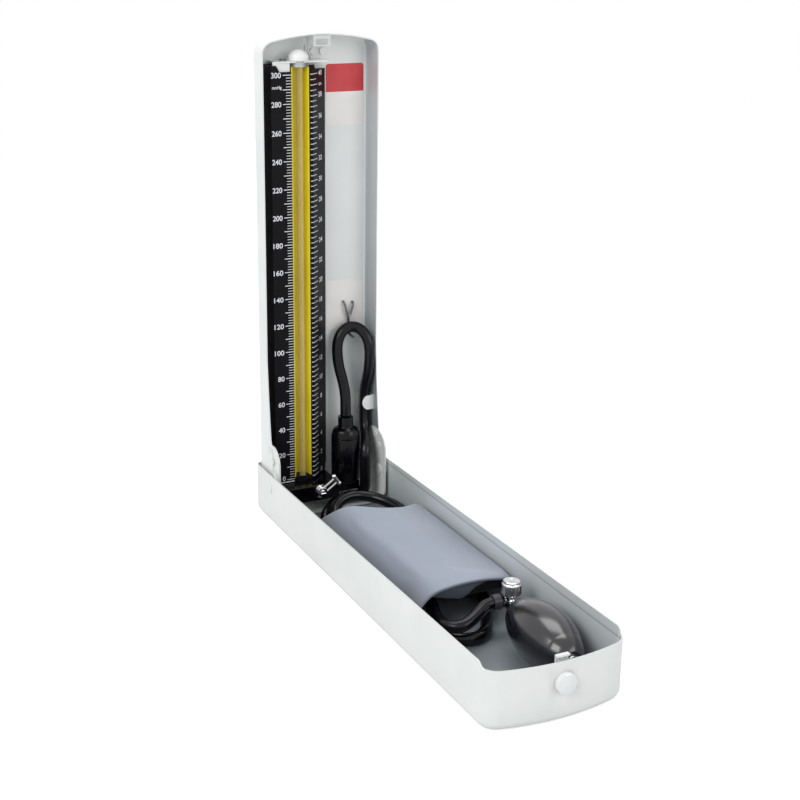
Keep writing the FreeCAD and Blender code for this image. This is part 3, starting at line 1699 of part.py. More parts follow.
def make_bulb_tube(nozzle_end, nozzle_z):
    start = in_bulb_frame(-S.valve_body_radius - 0.4, -S.nozzle_rise, nozzle_z)
    second = in_bulb_frame(-nozzle_end - S.tube_lead, -S.nozzle_rise, nozzle_z)
    route = [
        start,
        second,
        (3.8, -249.1, 20),
        (-5.6, -253.8, 17.5),
        (-11.4, -254.9, 16.2),
        (-16.6, -252.4, 15.2),
        (-19.4, -247.2, 14.6),
        (-19.4, -240.2, 14.3),
        (-17.6, -230.5, 14.6),
        (-13.8, -218.5, 17.1),
        (-12, -210, pocket_middle),
        (-12, -bladder_front, pocket_middle),
    ]
    tube, length, radii = swept(route, S.hose_radius)
    print(f"bulb_tube: length {length:.1f}, tightest radius {min(radii):.1f}")
    first = Vector(*(value.value for value in start))
    ahead = Vector(*(value.value for value in second)) - first
    ahead.normalize()
    past = S.fit_gap.value
    grip = S.nozzle_grip.value + 2 * past
    bore = Part.makeCylinder(S.nozzle_radius.value + S.mercury_gap.value, grip, first - ahead * past, ahead)
    keep_shape(tube.cut(bore), "bulb_tube")
    ring_at = first + ahead * S.collar_from_end.value
    ring = Part.makeCylinder(S.collar_radius.value, S.collar.value, ring_at, ahead)
    hole = Part.makeCylinder(S.hose_radius.value + 0.02, S.collar.value + 2, ring_at - ahead, ahead)
    keep_shape(ring.cut(hole), "tube_collar")


# ---------------------------------------------------------------- latch


def make_latch():
    front = -S.base_length
    spot = (0, S.button_height)
    flange_front = front_inner + 0.4
    flange_back = flange_front + S.button_flange
    catch_front = front + S.catch_from_front
    catch_back = catch_front + S.catch_sheet
    stem_end = catch_back + 0.5
    outside = S.button_out
    rim = S.button_rim_out
    rise = outside - rim
    dome = (S.button_radius * S.button_radius + rise * rise) / (2 * rise)
    # Turned about Z, which is then laid to point out of the front wall.
    inner_end = -(stem_end - front)
    points = [
        (0, inner_end),
        (S.button_stem_radius, inner_end),
        (S.button_stem_radius, -(catch_front - front)),
        (S.button_neck_radius, -(catch_front - front)),
        (S.button_neck_radius, -(flange_back - front)),
        (S.button_flange_radius, -(flange_back - front)),
        (S.button_flange_radius, -(flange_front - front)),
        (S.button_radius, -(flange_front - front)),
        (S.button_radius, rim),
        (0, outside),
    ]
    button = turned("button_form", points, {8: dome})
    button.Placement = Placement(Vector(), Rotation(Vector(1, 0, 0), 90))
    put(button, 0, front, S.button_height)
    keep(button, "push_button")

    lip_top = when_shut_height()
    hook_foot = lip_top + S.hook_gap
    hook_top = hook_foot + S.hook_sheet
    half = S.catch_half
    plate = box("catch_plate", (-half, catch_front, S.catch_bottom), (half, catch_back, hook_top))
    hook = box("catch_hook", (-half, catch_front - S.hook_reach, hook_foot), (half, catch_back, hook_top))
    stem_hole = rod("catch_bore", "y", spot, S.button_stem_radius, catch_front - 1, catch_back + 1)
    tools = [stem_hole]
    for number, x in enumerate((-S.catch_slot_width - 0.9, as_size(0.9))):
        low = (x, catch_front - 1, hook_foot - 2.2)
        high = (x + S.catch_slot_width, catch_back + 1, hook_foot - 2.2 + S.catch_slot_height)
        tools.append(box(f"catch_slot_{number}", low, high))
    keep(cut("catch_form", fuse("catch_solid", plate, hook), *tools), "latch_catch")

    guide = front + S.guide_from_front
    half = S.guide_half
    inner = S.catch_half + S.cheek_gap
    cheek_front = catch_front - 0.3
    plates = [
        box("guide_upright", (-half, guide, floor), (half, guide + S.guide_sheet, S.guide_top)),
        box("guide_foot_form", (-half, guide, floor), (half, guide + S.guide_foot, floor + S.guide_sheet)),
        rod("guide_boss", "y", spot, S.spring_boss_radius, guide - S.spring_boss, guide),
    ]
    for name, low_x in (("left", -inner - S.guide_sheet), ("right", inner)):
        low = (low_x, cheek_front, S.cheek_bottom)
        plates.append(box(f"guide_cheek_{name}", low, (low_x + S.guide_sheet, guide, S.cheek_top)))
    recess_end = flange_back + S.latch_travel + S.cheek_gap
    recess_radius = S.button_flange_radius + S.cheek_gap
    recess = rod("guide_flange_recess", "y", spot, recess_radius, cheek_front - 1, recess_end)
    keep(cut("guide_form", fuse("guide_solid", *plates), recess), "latch_guide")

    first = (catch_back + S.spring_wire + 0.05).value
    last = (guide - S.spring_wire - 0.05).value
    steps = 8 * int(S.spring_turns.value)
    coil = []
    for number in range(steps + 1):
        angle = math.radians(45 * number)
        x = S.spring_radius.value * math.cos(angle)
        z = S.spring_radius.value * math.sin(angle)
        coil.append((x, first + (last - first) * number / steps, S.button_height.value + z))
    spring, _length, _radii = swept(coil, S.spring_wire)
    keep_shape(spring, "latch_spring")


def when_shut_height():
    """The top of the striker's lip when the lid is shut."""
    lip_back = when_shut(as_size(0), S.rim_front + S.rim_seat_gap)[0] - 0.1 + S.striker_sheet
    return lip_back + hinge_z - hinge_y


# ---------------------------------------------------------------- lid stop


def make_lid_stop():
    face = hinge_y - S.stop_gap
    left = -S.stop_left
    right = -S.stop_right
    top = floor + S.stop_height
    upright = box("stop_upright", (left, face - 1, floor), (right, face, top))
    foot = box("stop_foot_form", (left, face - S.stop_foot, floor), (right, face, floor + 0.8))
    keep(fuse("stop_form", upright, foot), "lid_stop")


# ---------------------------------------------------------------- build and write

make_base_shell()
make_lid_shell()
make_hinge()
make_ears()
make_ear_rivets()
make_scale_panel()
make_tube_backing()
make_tube()
make_tube_cap()
make_top_bracket()
make_cap_keeper()
make_striker()
make_valve_block()
make_shut_off_valve()
make_reservoir()
make_labels()
make_hose_hook()
make_hose_clip()
make_joiner(make_hoses())
make_cuff()
make_bladder()
make_bulb()
make_intake_valve()
make_bulb_tube(*make_release_valve())
make_latch()
make_lid_stop()
doc.recompute()

for obj in doc.Objects:
    if {"Invalid", "Error"}.intersection(obj.State):
        raise RuntimeError(f"{obj.Name} is {obj.State}")
for node, obj in kept.items():
    shape = obj.Shape
    if shape.isNull() or not shape.isValid() or not shape.Solids:
        raise RuntimeError(f"{node} has no sound solid")

os.makedirs("parts", exist_ok=True)
for node, obj in kept.items():
    obj.Shape.exportStep(os.path.join("parts", node + ".step"))
print(f"{len(kept)} sub-parts written")
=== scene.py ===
import math

import bmesh
import bpy
from mathutils import Matrix, Vector, noise


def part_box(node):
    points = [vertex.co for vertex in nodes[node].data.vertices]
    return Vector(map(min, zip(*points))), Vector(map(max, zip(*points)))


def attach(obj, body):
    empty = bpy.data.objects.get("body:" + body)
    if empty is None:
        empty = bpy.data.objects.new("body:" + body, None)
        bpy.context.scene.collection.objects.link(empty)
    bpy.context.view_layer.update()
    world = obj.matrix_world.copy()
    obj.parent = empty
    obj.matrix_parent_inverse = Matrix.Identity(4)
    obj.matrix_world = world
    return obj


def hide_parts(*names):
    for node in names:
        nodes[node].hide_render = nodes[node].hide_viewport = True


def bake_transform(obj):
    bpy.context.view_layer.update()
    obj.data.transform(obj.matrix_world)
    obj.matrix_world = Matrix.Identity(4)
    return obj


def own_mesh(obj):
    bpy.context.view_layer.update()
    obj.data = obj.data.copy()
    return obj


# Looks for a desk mercury sphygmomanometer. Sizes are millimetres in the part's design frame,
# where Y is 0 at the base's rear face, and P() turns them into the frame's metres. A name that
# ends in _M is in metres already, and so are the lengths in materials and modifiers.

ROW_SHIFT = 177.1
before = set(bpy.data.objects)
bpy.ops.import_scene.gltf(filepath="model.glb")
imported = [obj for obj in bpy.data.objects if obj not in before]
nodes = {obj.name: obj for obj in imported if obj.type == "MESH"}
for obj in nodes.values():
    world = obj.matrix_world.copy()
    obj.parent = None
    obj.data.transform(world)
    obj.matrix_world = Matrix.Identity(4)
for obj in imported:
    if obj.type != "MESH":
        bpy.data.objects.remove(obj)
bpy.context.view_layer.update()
scene = bpy.context.scene
scene.view_settings.view_transform = "Standard"


def P(x, y, z):
    return Vector((x / 1000, (y + ROW_SHIFT) / 1000, z / 1000))


def link(obj):
    """Puts an object into the scene."""
    scene.collection.objects.link(obj)
    return obj


def mesh_object(name, vertices, faces, smooth=True):
    mesh = bpy.data.meshes.new(name)
    mesh.from_pydata(vertices, [], faces)
    mesh.validate()
    mesh.polygons.foreach_set("use_smooth", [smooth] * len(mesh.polygons))
    return link(bpy.data.objects.new(name, mesh))


# ---------------------------------------------------------------- camera, light, floor

IMAGE = 800  # pixels, as are the next two
FOCAL_LENGTH = 1424.13
LENS_AXIS = (387.53, 363.10)
SENSOR = 36
CAMERA_SPOT = (-396.87, -928.74, 423.64)
CAMERA_ANGLES = (26.31, -17.3, 0.6)  # yaw, pitch and roll in degrees
WORLD_GLOW = 0.47
GLOW_COLOUR = (0.97, 0.985, 1, 1)
FLOOR_COLOUR = (0.80, 0.81, 0.82, 1)
FLOOR_BACK_M = 1.9
FLOOR_REACH_M = 2
FLOOR_DROP_M = 0.0004
FLOOR_LIFT = 0.6

camera = bpy.data.objects.new("camera", bpy.data.cameras.new("camera"))
link(camera)
yaw, pitch, roll = (math.radians(angle) for angle in CAMERA_ANGLES)
flat = math.cos(pitch)
ahead = Vector((math.sin(yaw) * flat, math.cos(yaw) * flat, math.sin(pitch)))
level = Vector((math.cos(yaw), -math.sin(yaw), 0))
upward = level.cross(ahead)
right = level * math.cos(roll) + upward * math.sin(roll)
up = upward * math.cos(roll) - level * math.sin(roll)
camera.matrix_world = Matrix.Translation(P(*CAMERA_SPOT)) @ Matrix(
    (
        (right.x, up.x, -ahead.x, 0),
        (right.y, up.y, -ahead.y, 0),
        (right.z, up.z, -ahead.z, 0),
        (0, 0, 0, 1),
    )
)
camera.data.sensor_width = SENSOR
camera.data.lens = FOCAL_LENGTH / IMAGE * SENSOR
camera.data.shift_x = (IMAGE / 2 - LENS_AXIS[0]) / IMAGE
camera.data.shift_y = (LENS_AXIS[1] - IMAGE / 2) / IMAGE
camera.data.clip_start = 0.01
camera.data.clip_end = 50
scene.camera = camera


def area_light(name, spot, aim, size, power):
    """A rectangular lamp at spot that faces aim, in metres and watts."""
    data = bpy.data.lights.new(name, "AREA")
    data.shape = "RECTANGLE"
    data.size, data.size_y = size
    data.energy = power
    lamp = link(bpy.data.objects.new(name, data))
    lamp.location = spot
    lamp.rotation_mode = "QUATERNION"
    lamp.rotation_quaternion = (Vector(aim) - Vector(spot)).to_track_quat("-Z", "Y")


area_light("key", (-1.8, -0.6, 1.6), (0, 0, 0.1), (1.6, 1.2), 29)
area_light("fill", (1.1, -1.8, 1.0), (0, 0, 0.15), (1.4, 1.0), 11)
area_light("top", (0.25, 0.6, 2.0), (0, 0, 0), (1.5, 0.9), 15)


def fresh_tree(owner):
    owner.use_nodes = True
    owner.node_tree.nodes.clear()
    return owner.node_tree


def feed(tree, socket, source):
    """Links the socket to a source socket, or sets it to a plain value."""
    if isinstance(source, bpy.types.NodeSocket):
        tree.links.new(source, socket)
    else:
        socket.default_value = source


def add_node(tree, kind, *sources, **settings):
    """A new node with its settings; its first inputs take the sources in turn."""
    made = tree.nodes.new(kind)
    for key, value in settings.items():
        setattr(made, key, value)
    for socket, source in zip(made.inputs, sources):
        feed(tree, socket, source)
    return made


# The camera, glass and polished metal see plain white, and the glow lights everything else.
WHITE = (1, 1, 1, 1)
world = bpy.data.worlds.new("studio")
scene.world = world
tree = fresh_tree(world)
ray = add_node(tree, "ShaderNodeLightPath").outputs
direct = add_node(
    tree, "ShaderNodeMath", ray["Is Camera Ray"], ray["Is Transmission Ray"], operation="MAXIMUM"
)
seen = add_node(
    tree, "ShaderNodeMath", direct.outputs[0], ray["Is Glossy Ray"], operation="MAXIMUM"
)
glow = add_node(tree, "ShaderNodeBackground", GLOW_COLOUR, WORLD_GLOW)
white = add_node(tree, "ShaderNodeBackground", WHITE, 1)
choose = add_node(
    tree, "ShaderNodeMixShader", seen.outputs[0], glow.outputs[0], white.outputs[0]
)
add_node(tree, "ShaderNodeOutputWorld", choose.outputs[0])

# The floor is lifted towards white for the camera alone, and keeps the object's shadow.
floor_corners = [
    (-FLOOR_REACH_M, -FLOOR_REACH_M, 0),
    (FLOOR_REACH_M, -FLOOR_REACH_M, 0),
    (FLOOR_REACH_M, FLOOR_BACK_M, 0),
    (-FLOOR_REACH_M, FLOOR_BACK_M, 0),
]
floor = mesh_object("studio_floor", floor_corners, [(0, 1, 2, 3)], smooth=False)
floor.location.z = -FLOOR_DROP_M
ground = bpy.data.materials.new("studio_floor")
tree = fresh_tree(ground)
ray = add_node(tree, "ShaderNodeLightPath").outputs
matt = add_node(tree, "ShaderNodeBsdfDiffuse", FLOOR_COLOUR)
weak = add_node(tree, "ShaderNodeMath", ray["Is Camera Ray"], FLOOR_LIFT, operation="MULTIPLY")
lift = add_node(tree, "ShaderNodeEmission", WHITE, weak.outputs[0])
both = add_node(tree, "ShaderNodeAddShader", matt.outputs[0], lift.outputs[0])
add_node(tree, "ShaderNodeOutputMaterial", both.outputs[0])
floor.data.materials.append(ground)


# ---------------------------------------------------------------- materials

COAT_ROUGHNESS = 0.12
SURFACE_IOR = 1.45
EVEN = (1, 1, 1)
BRUSHED = (1, 14, 1)
MIX_COLOUR_INPUTS = (0, 6, 7)  # a Mix node's factor and its two colours
MIX_COLOUR_OUTPUT = 2
PATCH_ENDS = (0.35, 0.65)  # the noise at which a colour is all low and all high
ENAMEL_COAT = 0.35
ENAMEL_PATCHES = 22
THREAD = (780, 0.6, 1)  # a wave's scale, distortion and detail
GAP_SHADE = 0.22
GAP_TONE = 0.9
CLOTH_SIDE_M = 0.044
CLOTH_SIDE_SHADE = [  # painted shade where the folded sides turn down: the share of the way across from the left, and how bright the cloth is there
    (0, 120), (0.18, 178), (0.25, 208), (0.32, 239), (0.4, 250), (0.65, 250), (0.88, 238), (1, 200),
]
EDGE_BLEND = 0.4
EDGE_ALPHA = (0.03, 0.14)  # seen head-on and at the edge
# The pale line down the tube is a painted highlight, fixed a little aside of the tube's middle.
BORE_HIGHLIGHT_ASIDE_M = 0.0008
BORE_HIGHLIGHT_M = (0.0002, 0.0013)  # from the line's middle, where it starts to fade and ends
BORE_HIGHLIGHT_ALPHA = 0.34
BAND_FOOT = 307.5


def linear(colour):
    """A colour of 0 to 255 per channel as the shaders' linear one."""
    channels = [c / 255 for c in colour]
    return [c / 12.92 if c <= 0.04045 else ((c + 0.055) / 1.055) ** 2.4 for c in channels] + [1]


class Finish:
    """A Principled material whose colour, roughness and height come from noise."""

    def __init__(self, name, metallic=0.0, coat=0.0, sheen=0.0, specular=0.5):
        self.material = bpy.data.materials.new(name)
        self.material.use_nodes = True
        self.tree = self.material.node_tree
        self.shader = self.tree.nodes["Principled BSDF"]
        self.set("Metallic", metallic)
        self.set("Coat Weight", coat)
        self.set("Coat Roughness", COAT_ROUGHNESS)
        self.set("Sheen Weight", sheen)
        self.set("IOR", SURFACE_IOR)
        self.set("Specular IOR Level", specular)
        self.place = self.node("ShaderNodeTexCoord").outputs["Object"]
        self.height = None

    def set(self, socket, source):
        """Sets or feeds one of the shader's own sockets."""
        feed(self.tree, self.shader.inputs[socket], source)

    def node(self, kind, *sources, **settings):
        """A new node of this material, as add_node makes it."""
        return add_node(self.tree, kind, *sources, **settings)

    def noise(self, scale, detail=3.0, stretch=EVEN):
        """Noise in the piece's own space; a larger scale is finer."""
        mapping = self.node("ShaderNodeMapping", self.place)
        mapping.inputs["Scale"].default_value = stretch
        made = self.node("ShaderNodeTexNoise", mapping.outputs[0])
        made.inputs["Scale"].default_value = scale
        made.inputs["Detail"].default_value = detail
        return made.outputs["Fac"]

    def ramp(self, source, stops):
        """The colour that the stops, each a position and a colour, give the source."""
        made = self.node("ShaderNodeValToRGB", source)
        elements = made.color_ramp.elements
        while len(elements) < len(stops):
            elements.new(0.5)
        for element, (spot, colour) in zip(elements, stops):
            element.position = spot
            element.color = colour
        return made.outputs["Color"]

    def tones(self, low, high, scale, detail=3.0, stretch=EVEN):
        """A colour that wanders between low and high in patches."""
        stops = zip(PATCH_ENDS, (linear(low), linear(high)))
        return self.ramp(self.noise(scale, detail, stretch), list(stops))

    def mapped(self, source, start, end, first=0.0, last=1.0, **settings):
        """The source's range from start to end, stretched to run from first to last."""
        limits = (start, end, first, last)
        return self.node("ShaderNodeMapRange", source, *limits, **settings).outputs[0]

    def blend(self, factor, first, second, blend_type="MIX"):
        """The first colour with the factor's share of the second."""
        made = self.node("ShaderNodeMix", data_type="RGBA", blend_type=blend_type)
        for number, source in zip(MIX_COLOUR_INPUTS, (factor, first, second)):
            feed(self.tree, made.inputs[number], source)
        return made.outputs[MIX_COLOUR_OUTPUT]

    def maths(self, operation, *values):
        return self.node("ShaderNodeMath", *values, operation=operation).outputs[0]

    def axis(self, letter):
        return self.node("ShaderNodeSeparateXYZ", self.place).outputs[letter]

    def rough(self, low, high, scale=60, stretch=EVEN):
        """Roughness that wanders between low and high."""
        self.set("Roughness", self.mapped(self.noise(scale, 4, stretch), 0, 1, low, high))

    def bump(self, source, strength, distance):
        """Relief from the source, distance metres deep, on top of any before it."""
        made = self.node("ShaderNodeBump")
        made.inputs["Strength"].default_value = strength
        made.inputs["Distance"].default_value = distance
        feed(self.tree, made.inputs["Height"], source)
        if self.height is not None:
            feed(self.tree, made.inputs["Normal"], self.height)
        self.height = made.outputs["Normal"]
        self.set("Normal", self.height)

    def grain(self, scale, detail, strength, distance, stretch=EVEN):
        """Relief from noise."""
        self.bump(self.noise(scale, detail, stretch), strength, distance)


def enamel_surface(made):
    made.rough(0.3, 0.42, 40)
    made.grain(900, 2, 0.06, 0.0002)
    made.grain(60, 2, 0.05, 0.0004)
    return made.material


def make_enamel(name, low, high):
    """Stoved enamel, even all over."""
    made = Finish(name, coat=ENAMEL_COAT)
    made.set("Base Color", made.tones(low, high, ENAMEL_PATCHES))
    return enamel_surface(made)


def make_lined_enamel(name, low, high, axes, limit, shade_heights):
    """Enamel whose inner faces are greyer towards the bottom: painted shade for the shade that
    gathers low inside the case.

    A face is inner where its normal times its place, along the given axes, is below the limit.
    """
    made = Finish(name, coat=ENAMEL_COAT)
    outside = made.tones(low, high, ENAMEL_PATCHES)
    first, last = shade_heights[0][0], shade_heights[-1][0]
    level = made.mapped(made.axis("Z"), first, last)
    stops = [((z - first) / (last - first), linear(tone)) for z, tone in shade_heights]
    inner_shade = made.ramp(level, stops)
    spot = made.node("ShaderNodeVectorMath", made.place, axes, operation="MULTIPLY").outputs[0]
    normal = made.node("ShaderNodeTexCoord").outputs["Normal"]
    outwards = made.node("ShaderNodeVectorMath", spot, normal, operation="DOT_PRODUCT")
    inner = made.maths("LESS_THAN", outwards.outputs["Value"], limit)
    above = made.maths("GREATER_THAN", made.axis("Z"), first)
    below = made.maths("LESS_THAN", made.axis("Z"), last)
    shade_mask = made.maths("MULTIPLY", inner, made.maths("MULTIPLY", above, below))
    made.set("Base Color", made.blend(shade_mask, outside, inner_shade))
    return enamel_surface(made)


def make_black_paint():
    made = Finish("black_enamel", specular=0.15)
    made.set("Base Color", made.tones((8, 7, 13), (13, 12, 18), 60))
    made.rough(0.34, 0.46, 120)
    made.grain(1400, 2, 0.08, 0.0002)
    return made.material


def make_yellow():
    made = Finish("yellow_enamel", coat=0.2)
    made.set("Base Color", made.tones((218, 198, 24), (226, 207, 34), 30))
    made.rough(0.34, 0.44)
    made.grain(700, 2, 0.05, 0.0002)
    return made.material


def make_moulding(name, low, high, rough=(0.2, 0.3), coat=0.3, specular=0.5):
    made = Finish(name, coat=coat, specular=specular)
    made.set("Base Color", made.tones(low, high, 90))
    made.rough(*rough, 150)
    made.grain(500, 2, 0.05, 0.0002)
    return made.material


def make_metal(name, low, high, rough, stretch=EVEN):
    made = Finish(name, metallic=1.0)
    made.set("Base Color", made.tones(low, high, 160, 3, stretch))
    made.rough(*rough, 220, stretch)
    made.grain(900, 3, 0.04, 0.0001, stretch)
    return made.material


def make_glass():
    """Clear glass that shows at its edges, with a painted highlight: a pale line where the tube's
    inner channel would bend the light.
    """
    made = Finish("tube_glass", specular=0.6)
    made.set("Base Color", made.tones((244, 222, 150), (250, 230, 162), 30))
    made.rough(0.04, 0.08, 30)
    facing = made.node("ShaderNodeLayerWeight", EDGE_BLEND).outputs["Facing"]
    edges = made.mapped(facing, 0, 1, *EDGE_ALPHA)
    low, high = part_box("glass_tube")
    line_x = (low[0] + high[0]) / 2 + BORE_HIGHLIGHT_ASIDE_M
    aside = made.maths("ABSOLUTE", made.maths("SUBTRACT", made.axis("X"), line_x))
    bore_highlight = made.mapped(aside, *BORE_HIGHLIGHT_M, BORE_HIGHLIGHT_ALPHA, 0.0, interpolation_type="SMOOTHSTEP")
    made.set("Alpha", made.maths("ADD", edges, bore_highlight))
    return made.material


def make_clear():
    made = Finish("clear_moulding", specular=0.6)
    made.set("Base Color", made.tones((206, 209, 213), (230, 233, 236), 400))
    made.rough(0.08, 0.16, 300)
    made.grain(600, 2, 0.2, 0.0003)
    made.set("Alpha", 0.6)
    return made.material


def make_rubber(name, low, high, rough, coat, coat_ior=1.5):
    made = Finish(name, coat=coat, specular=0.12)
    made.set("Coat IOR", coat_ior)
    made.set("Coat Roughness", 0.2)
    made.set("Base Color", made.tones(low, high, 45, 4))
    made.rough(*rough, 90)
    made.grain(1200, 3, 0.08, 0.0002)
    made.grain(120, 2, 0.05, 0.0004)
    return made.material


def make_cloth(name, low, high, shaded_sides=False):
    """Plain weave; with shaded sides the cloth also darkens towards the case's sides, most at the
    left: painted shade where the folded sides turn down.
    """
    made = Finish(name, sheen=0.25)
    made.set("Sheen Roughness", 0.45)
    threads = [
        made.node("ShaderNodeTexWave", made.place, *THREAD, wave_type="BANDS", bands_direction=way)
        for way in "XY"
    ]
    weave = made.maths("MULTIPLY", *(thread.outputs["Fac"] for thread in threads))
    gaps = made.maths("MULTIPLY", made.maths("SUBTRACT", 1.0, weave), GAP_SHADE)
    cloth = made.blend(gaps, made.tones(low, high, 16), linear([c * GAP_TONE for c in low]))
    if shaded_sides:
        across = made.mapped(made.axis("X"), -CLOTH_SIDE_M, CLOTH_SIDE_M)
        side_shade = made.ramp(across, [(spot, linear((v, v, v + 3))) for spot, v in CLOTH_SIDE_SHADE])
        cloth = made.blend(1.0, cloth, side_shade, "MULTIPLY")
    made.set("Base Color", cloth)
    made.rough(0.62, 0.78, 200)
    made.bump(weave, 0.18, 0.0003)
    made.grain(90, 3, 0.12, 0.0008)
    return made.material


def make_paper(name, band_foot=None):
    """Label paper, red above band_foot."""
    made = Finish(name, coat=0.15)
    paper = made.tones((238, 234, 230), (246, 243, 240), 40, 4)
    if band_foot is not None:
        red = made.tones((203, 58, 62), (214, 70, 74), 60, 4)
        above = made.maths("GREATER_THAN", made.axis("Z"), band_foot / 1000)
        paper = made.blend(above, paper, red)
    made.set("Base Color", paper)
    made.rough(0.4, 0.5, 100)
    made.grain(1500, 3, 0.06, 0.0001)
    return made.material


ENAMEL = make_enamel("white_enamel", (226, 229, 226), (233, 235, 232))
# The inner faces of both shells carry painted shade, a grey that deepens towards the bottom; the
# list of heights gives its tones.
BASE_ENAMEL = make_lined_enamel(
    "base_enamel",
    (226, 229, 226),
    (233, 235, 232),
    axes=(1, 1, 0),
    limit=0.004,
    shade_heights=[
        (0.0006, (134, 141, 146)),
        (0.012, (168, 175, 178)),
        (0.028, (202, 208, 210)),
        (0.0341, (210, 215, 216)),
        (0.0345, (168, 174, 177)),  # the line of shade along the rim's step
        (0.0351, (168, 174, 177)),
        (0.0355, (206, 211, 212)),
        (0.0413, (212, 216, 216)),
    ],
)
# The lid's outside enamel is a touch lighter than the base's: painted light on the lid's back.
LID_ENAMEL = make_lined_enamel(
    "lid_enamel",
    (230, 233, 231),
    (237, 239, 237),
    axes=(1, 0, 0),
    limit=-0.02,
    shade_heights=[
        (0.02, (112, 120, 122)),
        (0.09, (140, 147, 150)),
        (0.2, (178, 182, 185)),
        (0.346, (190, 194, 196)),
    ],
)
DULL_ENAMEL = make_enamel("dull_enamel", (212, 215, 213), (219, 221, 219))
BLACK = make_black_paint()
YELLOW = make_yellow()
PLASTIC = make_moulding("black_moulding", (4, 4, 8), (8, 8, 13), (0.12, 0.2), 0.25, 0.12)
WHITE_PLASTIC = make_moulding("white_moulding", (238, 240, 239), (246, 247, 246))
BUTTON = make_moulding("button_moulding", (228, 230, 230), (236, 237, 237), (0.06, 0.12), 1.0)
STEEL = make_metal("bright_steel", (170, 171, 173), (196, 197, 199), (0.22, 0.34), BRUSHED)
DARK_STEEL = make_metal("dark_steel", (104, 106, 110), (128, 130, 134), (0.3, 0.4))
CHROME = make_metal("chrome_plate", (205, 203, 206), (226, 225, 228), (0.06, 0.14))
MERCURY = make_metal("mercury", (188, 190, 194), (206, 208, 212), (0.03, 0.07))
GLASS = make_glass()
CLEAR = make_clear()
HOSE = make_rubber("hose_rubber", (8, 7, 12), (13, 12, 18), (0.2, 0.28), 0.35)
BULB = make_rubber("bulb_rubber", (14, 13, 20), (20, 19, 28), (0.2, 0.28), 1.0, 1.65)
SLEEVE = make_rubber("sleeve_rubber", (58, 55, 60), (70, 67, 73), (0.34, 0.44), 0.3)
SEAL = make_rubber("seal_rubber", (24, 24, 27), (34, 34, 38), (0.5, 0.6), 0.1)
CLOTH = make_cloth("cuff_cloth", (157, 165, 178), (165, 173, 185), shaded_sides=True)
# The cuff's underside is its slate cloth painted near black: painted shade beneath the folded cuff.
CLOTH_UNDER_SHADE = make_cloth("cuff_underside_shade", (22, 23, 31), (30, 31, 40))
HEM = make_cloth("cuff_hem", (98, 104, 118), (110, 116, 130))
LINING = make_cloth("cuff_lining", (74, 79, 92), (90, 96, 109))
PAPER = make_paper("label_paper")
BANDED = make_paper("label_paper_banded", BAND_FOOT)
LEATHER = make_moulding("filter_leather", (150, 118, 84), (176, 143, 106), (0.6, 0.8), 0)
MARKING = make_moulding("white_marking", (222, 223, 226), (232, 233, 236), (0.5, 0.6), 0)
SHADE_MARK = make_moulding("dark_marking", (58, 50, 10), (74, 64, 14), (0.5, 0.6), 0)

# Each CAD node's material, also of nodes that a piece of this script replaces.
LOOKS = {
    "base_shell": BASE_ENAMEL,
    "hinge_pins": ENAMEL,
    "hinge_washers": WHITE_PLASTIC,
    "latch_guide": ENAMEL,
    "latch_spring": STEEL,
    "lid_stop": ENAMEL,
    "cuff": CLOTH,
    "cuff_bladder": SEAL,
    "cuff_tube": HOSE,
    "hose_joiner": PLASTIC,
    "base_hose": HOSE,
    "hose_bend": HOSE,
    "bulb_tube": HOSE,
    "tube_collar": SLEEVE,
    "bulb": BULB,
    "bulb_intake_valve": CHROME,
    "release_valve_body": CHROME,
    "push_button": BUTTON,
    "latch_catch": ENAMEL,
    "release_valve_knob": CHROME,
    "lid_shell": LID_ENAMEL,
    "ear_bracket_left": ENAMEL,
    "ear_bracket_right": ENAMEL,
    "ear_rivets": ENAMEL,
    "latch_striker": DULL_ENAMEL,
    "scale_panel": BLACK,
    "panel_rivets": STEEL,
    "tube_backing": YELLOW,
    "glass_tube": GLASS,
    "mercury_column": MERCURY,
    "tube_seal": SEAL,
    "tube_top_ring": CLEAR,
    "tube_cap": WHITE_PLASTIC,
    "cap_keeper": STEEL,
    "top_bracket": ENAMEL,
    "bracket_rivets": ENAMEL,
    "bracket_screw": DARK_STEEL,
    "valve_block": PLASTIC,
    "block_screws": STEEL,
    "reservoir_body": PLASTIC,
    "reservoir_cap": PLASTIC,
    "reservoir_gasket": SEAL,
    "reservoir_filter": LEATHER,
    "reservoir_mercury": MERCURY,
    "upper_label": BANDED,
    "lower_label": PAPER,
    "hose_hook": DARK_STEEL,
    "hose_clip": WHITE_PLASTIC,
    "reservoir_hose": HOSE,
    "valve_plug": CHROME,
    "valve_gland_nut": CHROME,
    "valve_lever": CHROME,
    "lever_screw": CHROME,
}
for name, node in nodes.items():
    node.data.materials.clear()
    node.data.materials.append(LOOKS[name])


def finish_piece(obj, body, *materials, slot, replaces=()):
    """Gives a piece its materials, the body it rides on and the nodes it stands for, which it
    hides; slot is not used.
    """
    for material in materials:
        obj.data.materials.append(material)
    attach(obj, body)
    if replaces:
        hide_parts(*replaces)


# ---------------------------------------------------------------- cords

HOSE_RADIUS_M = 0.004
TUBE_SIDES = 28
ROUTE_STEPS = 10
SAME_POINT_M = 1e-5


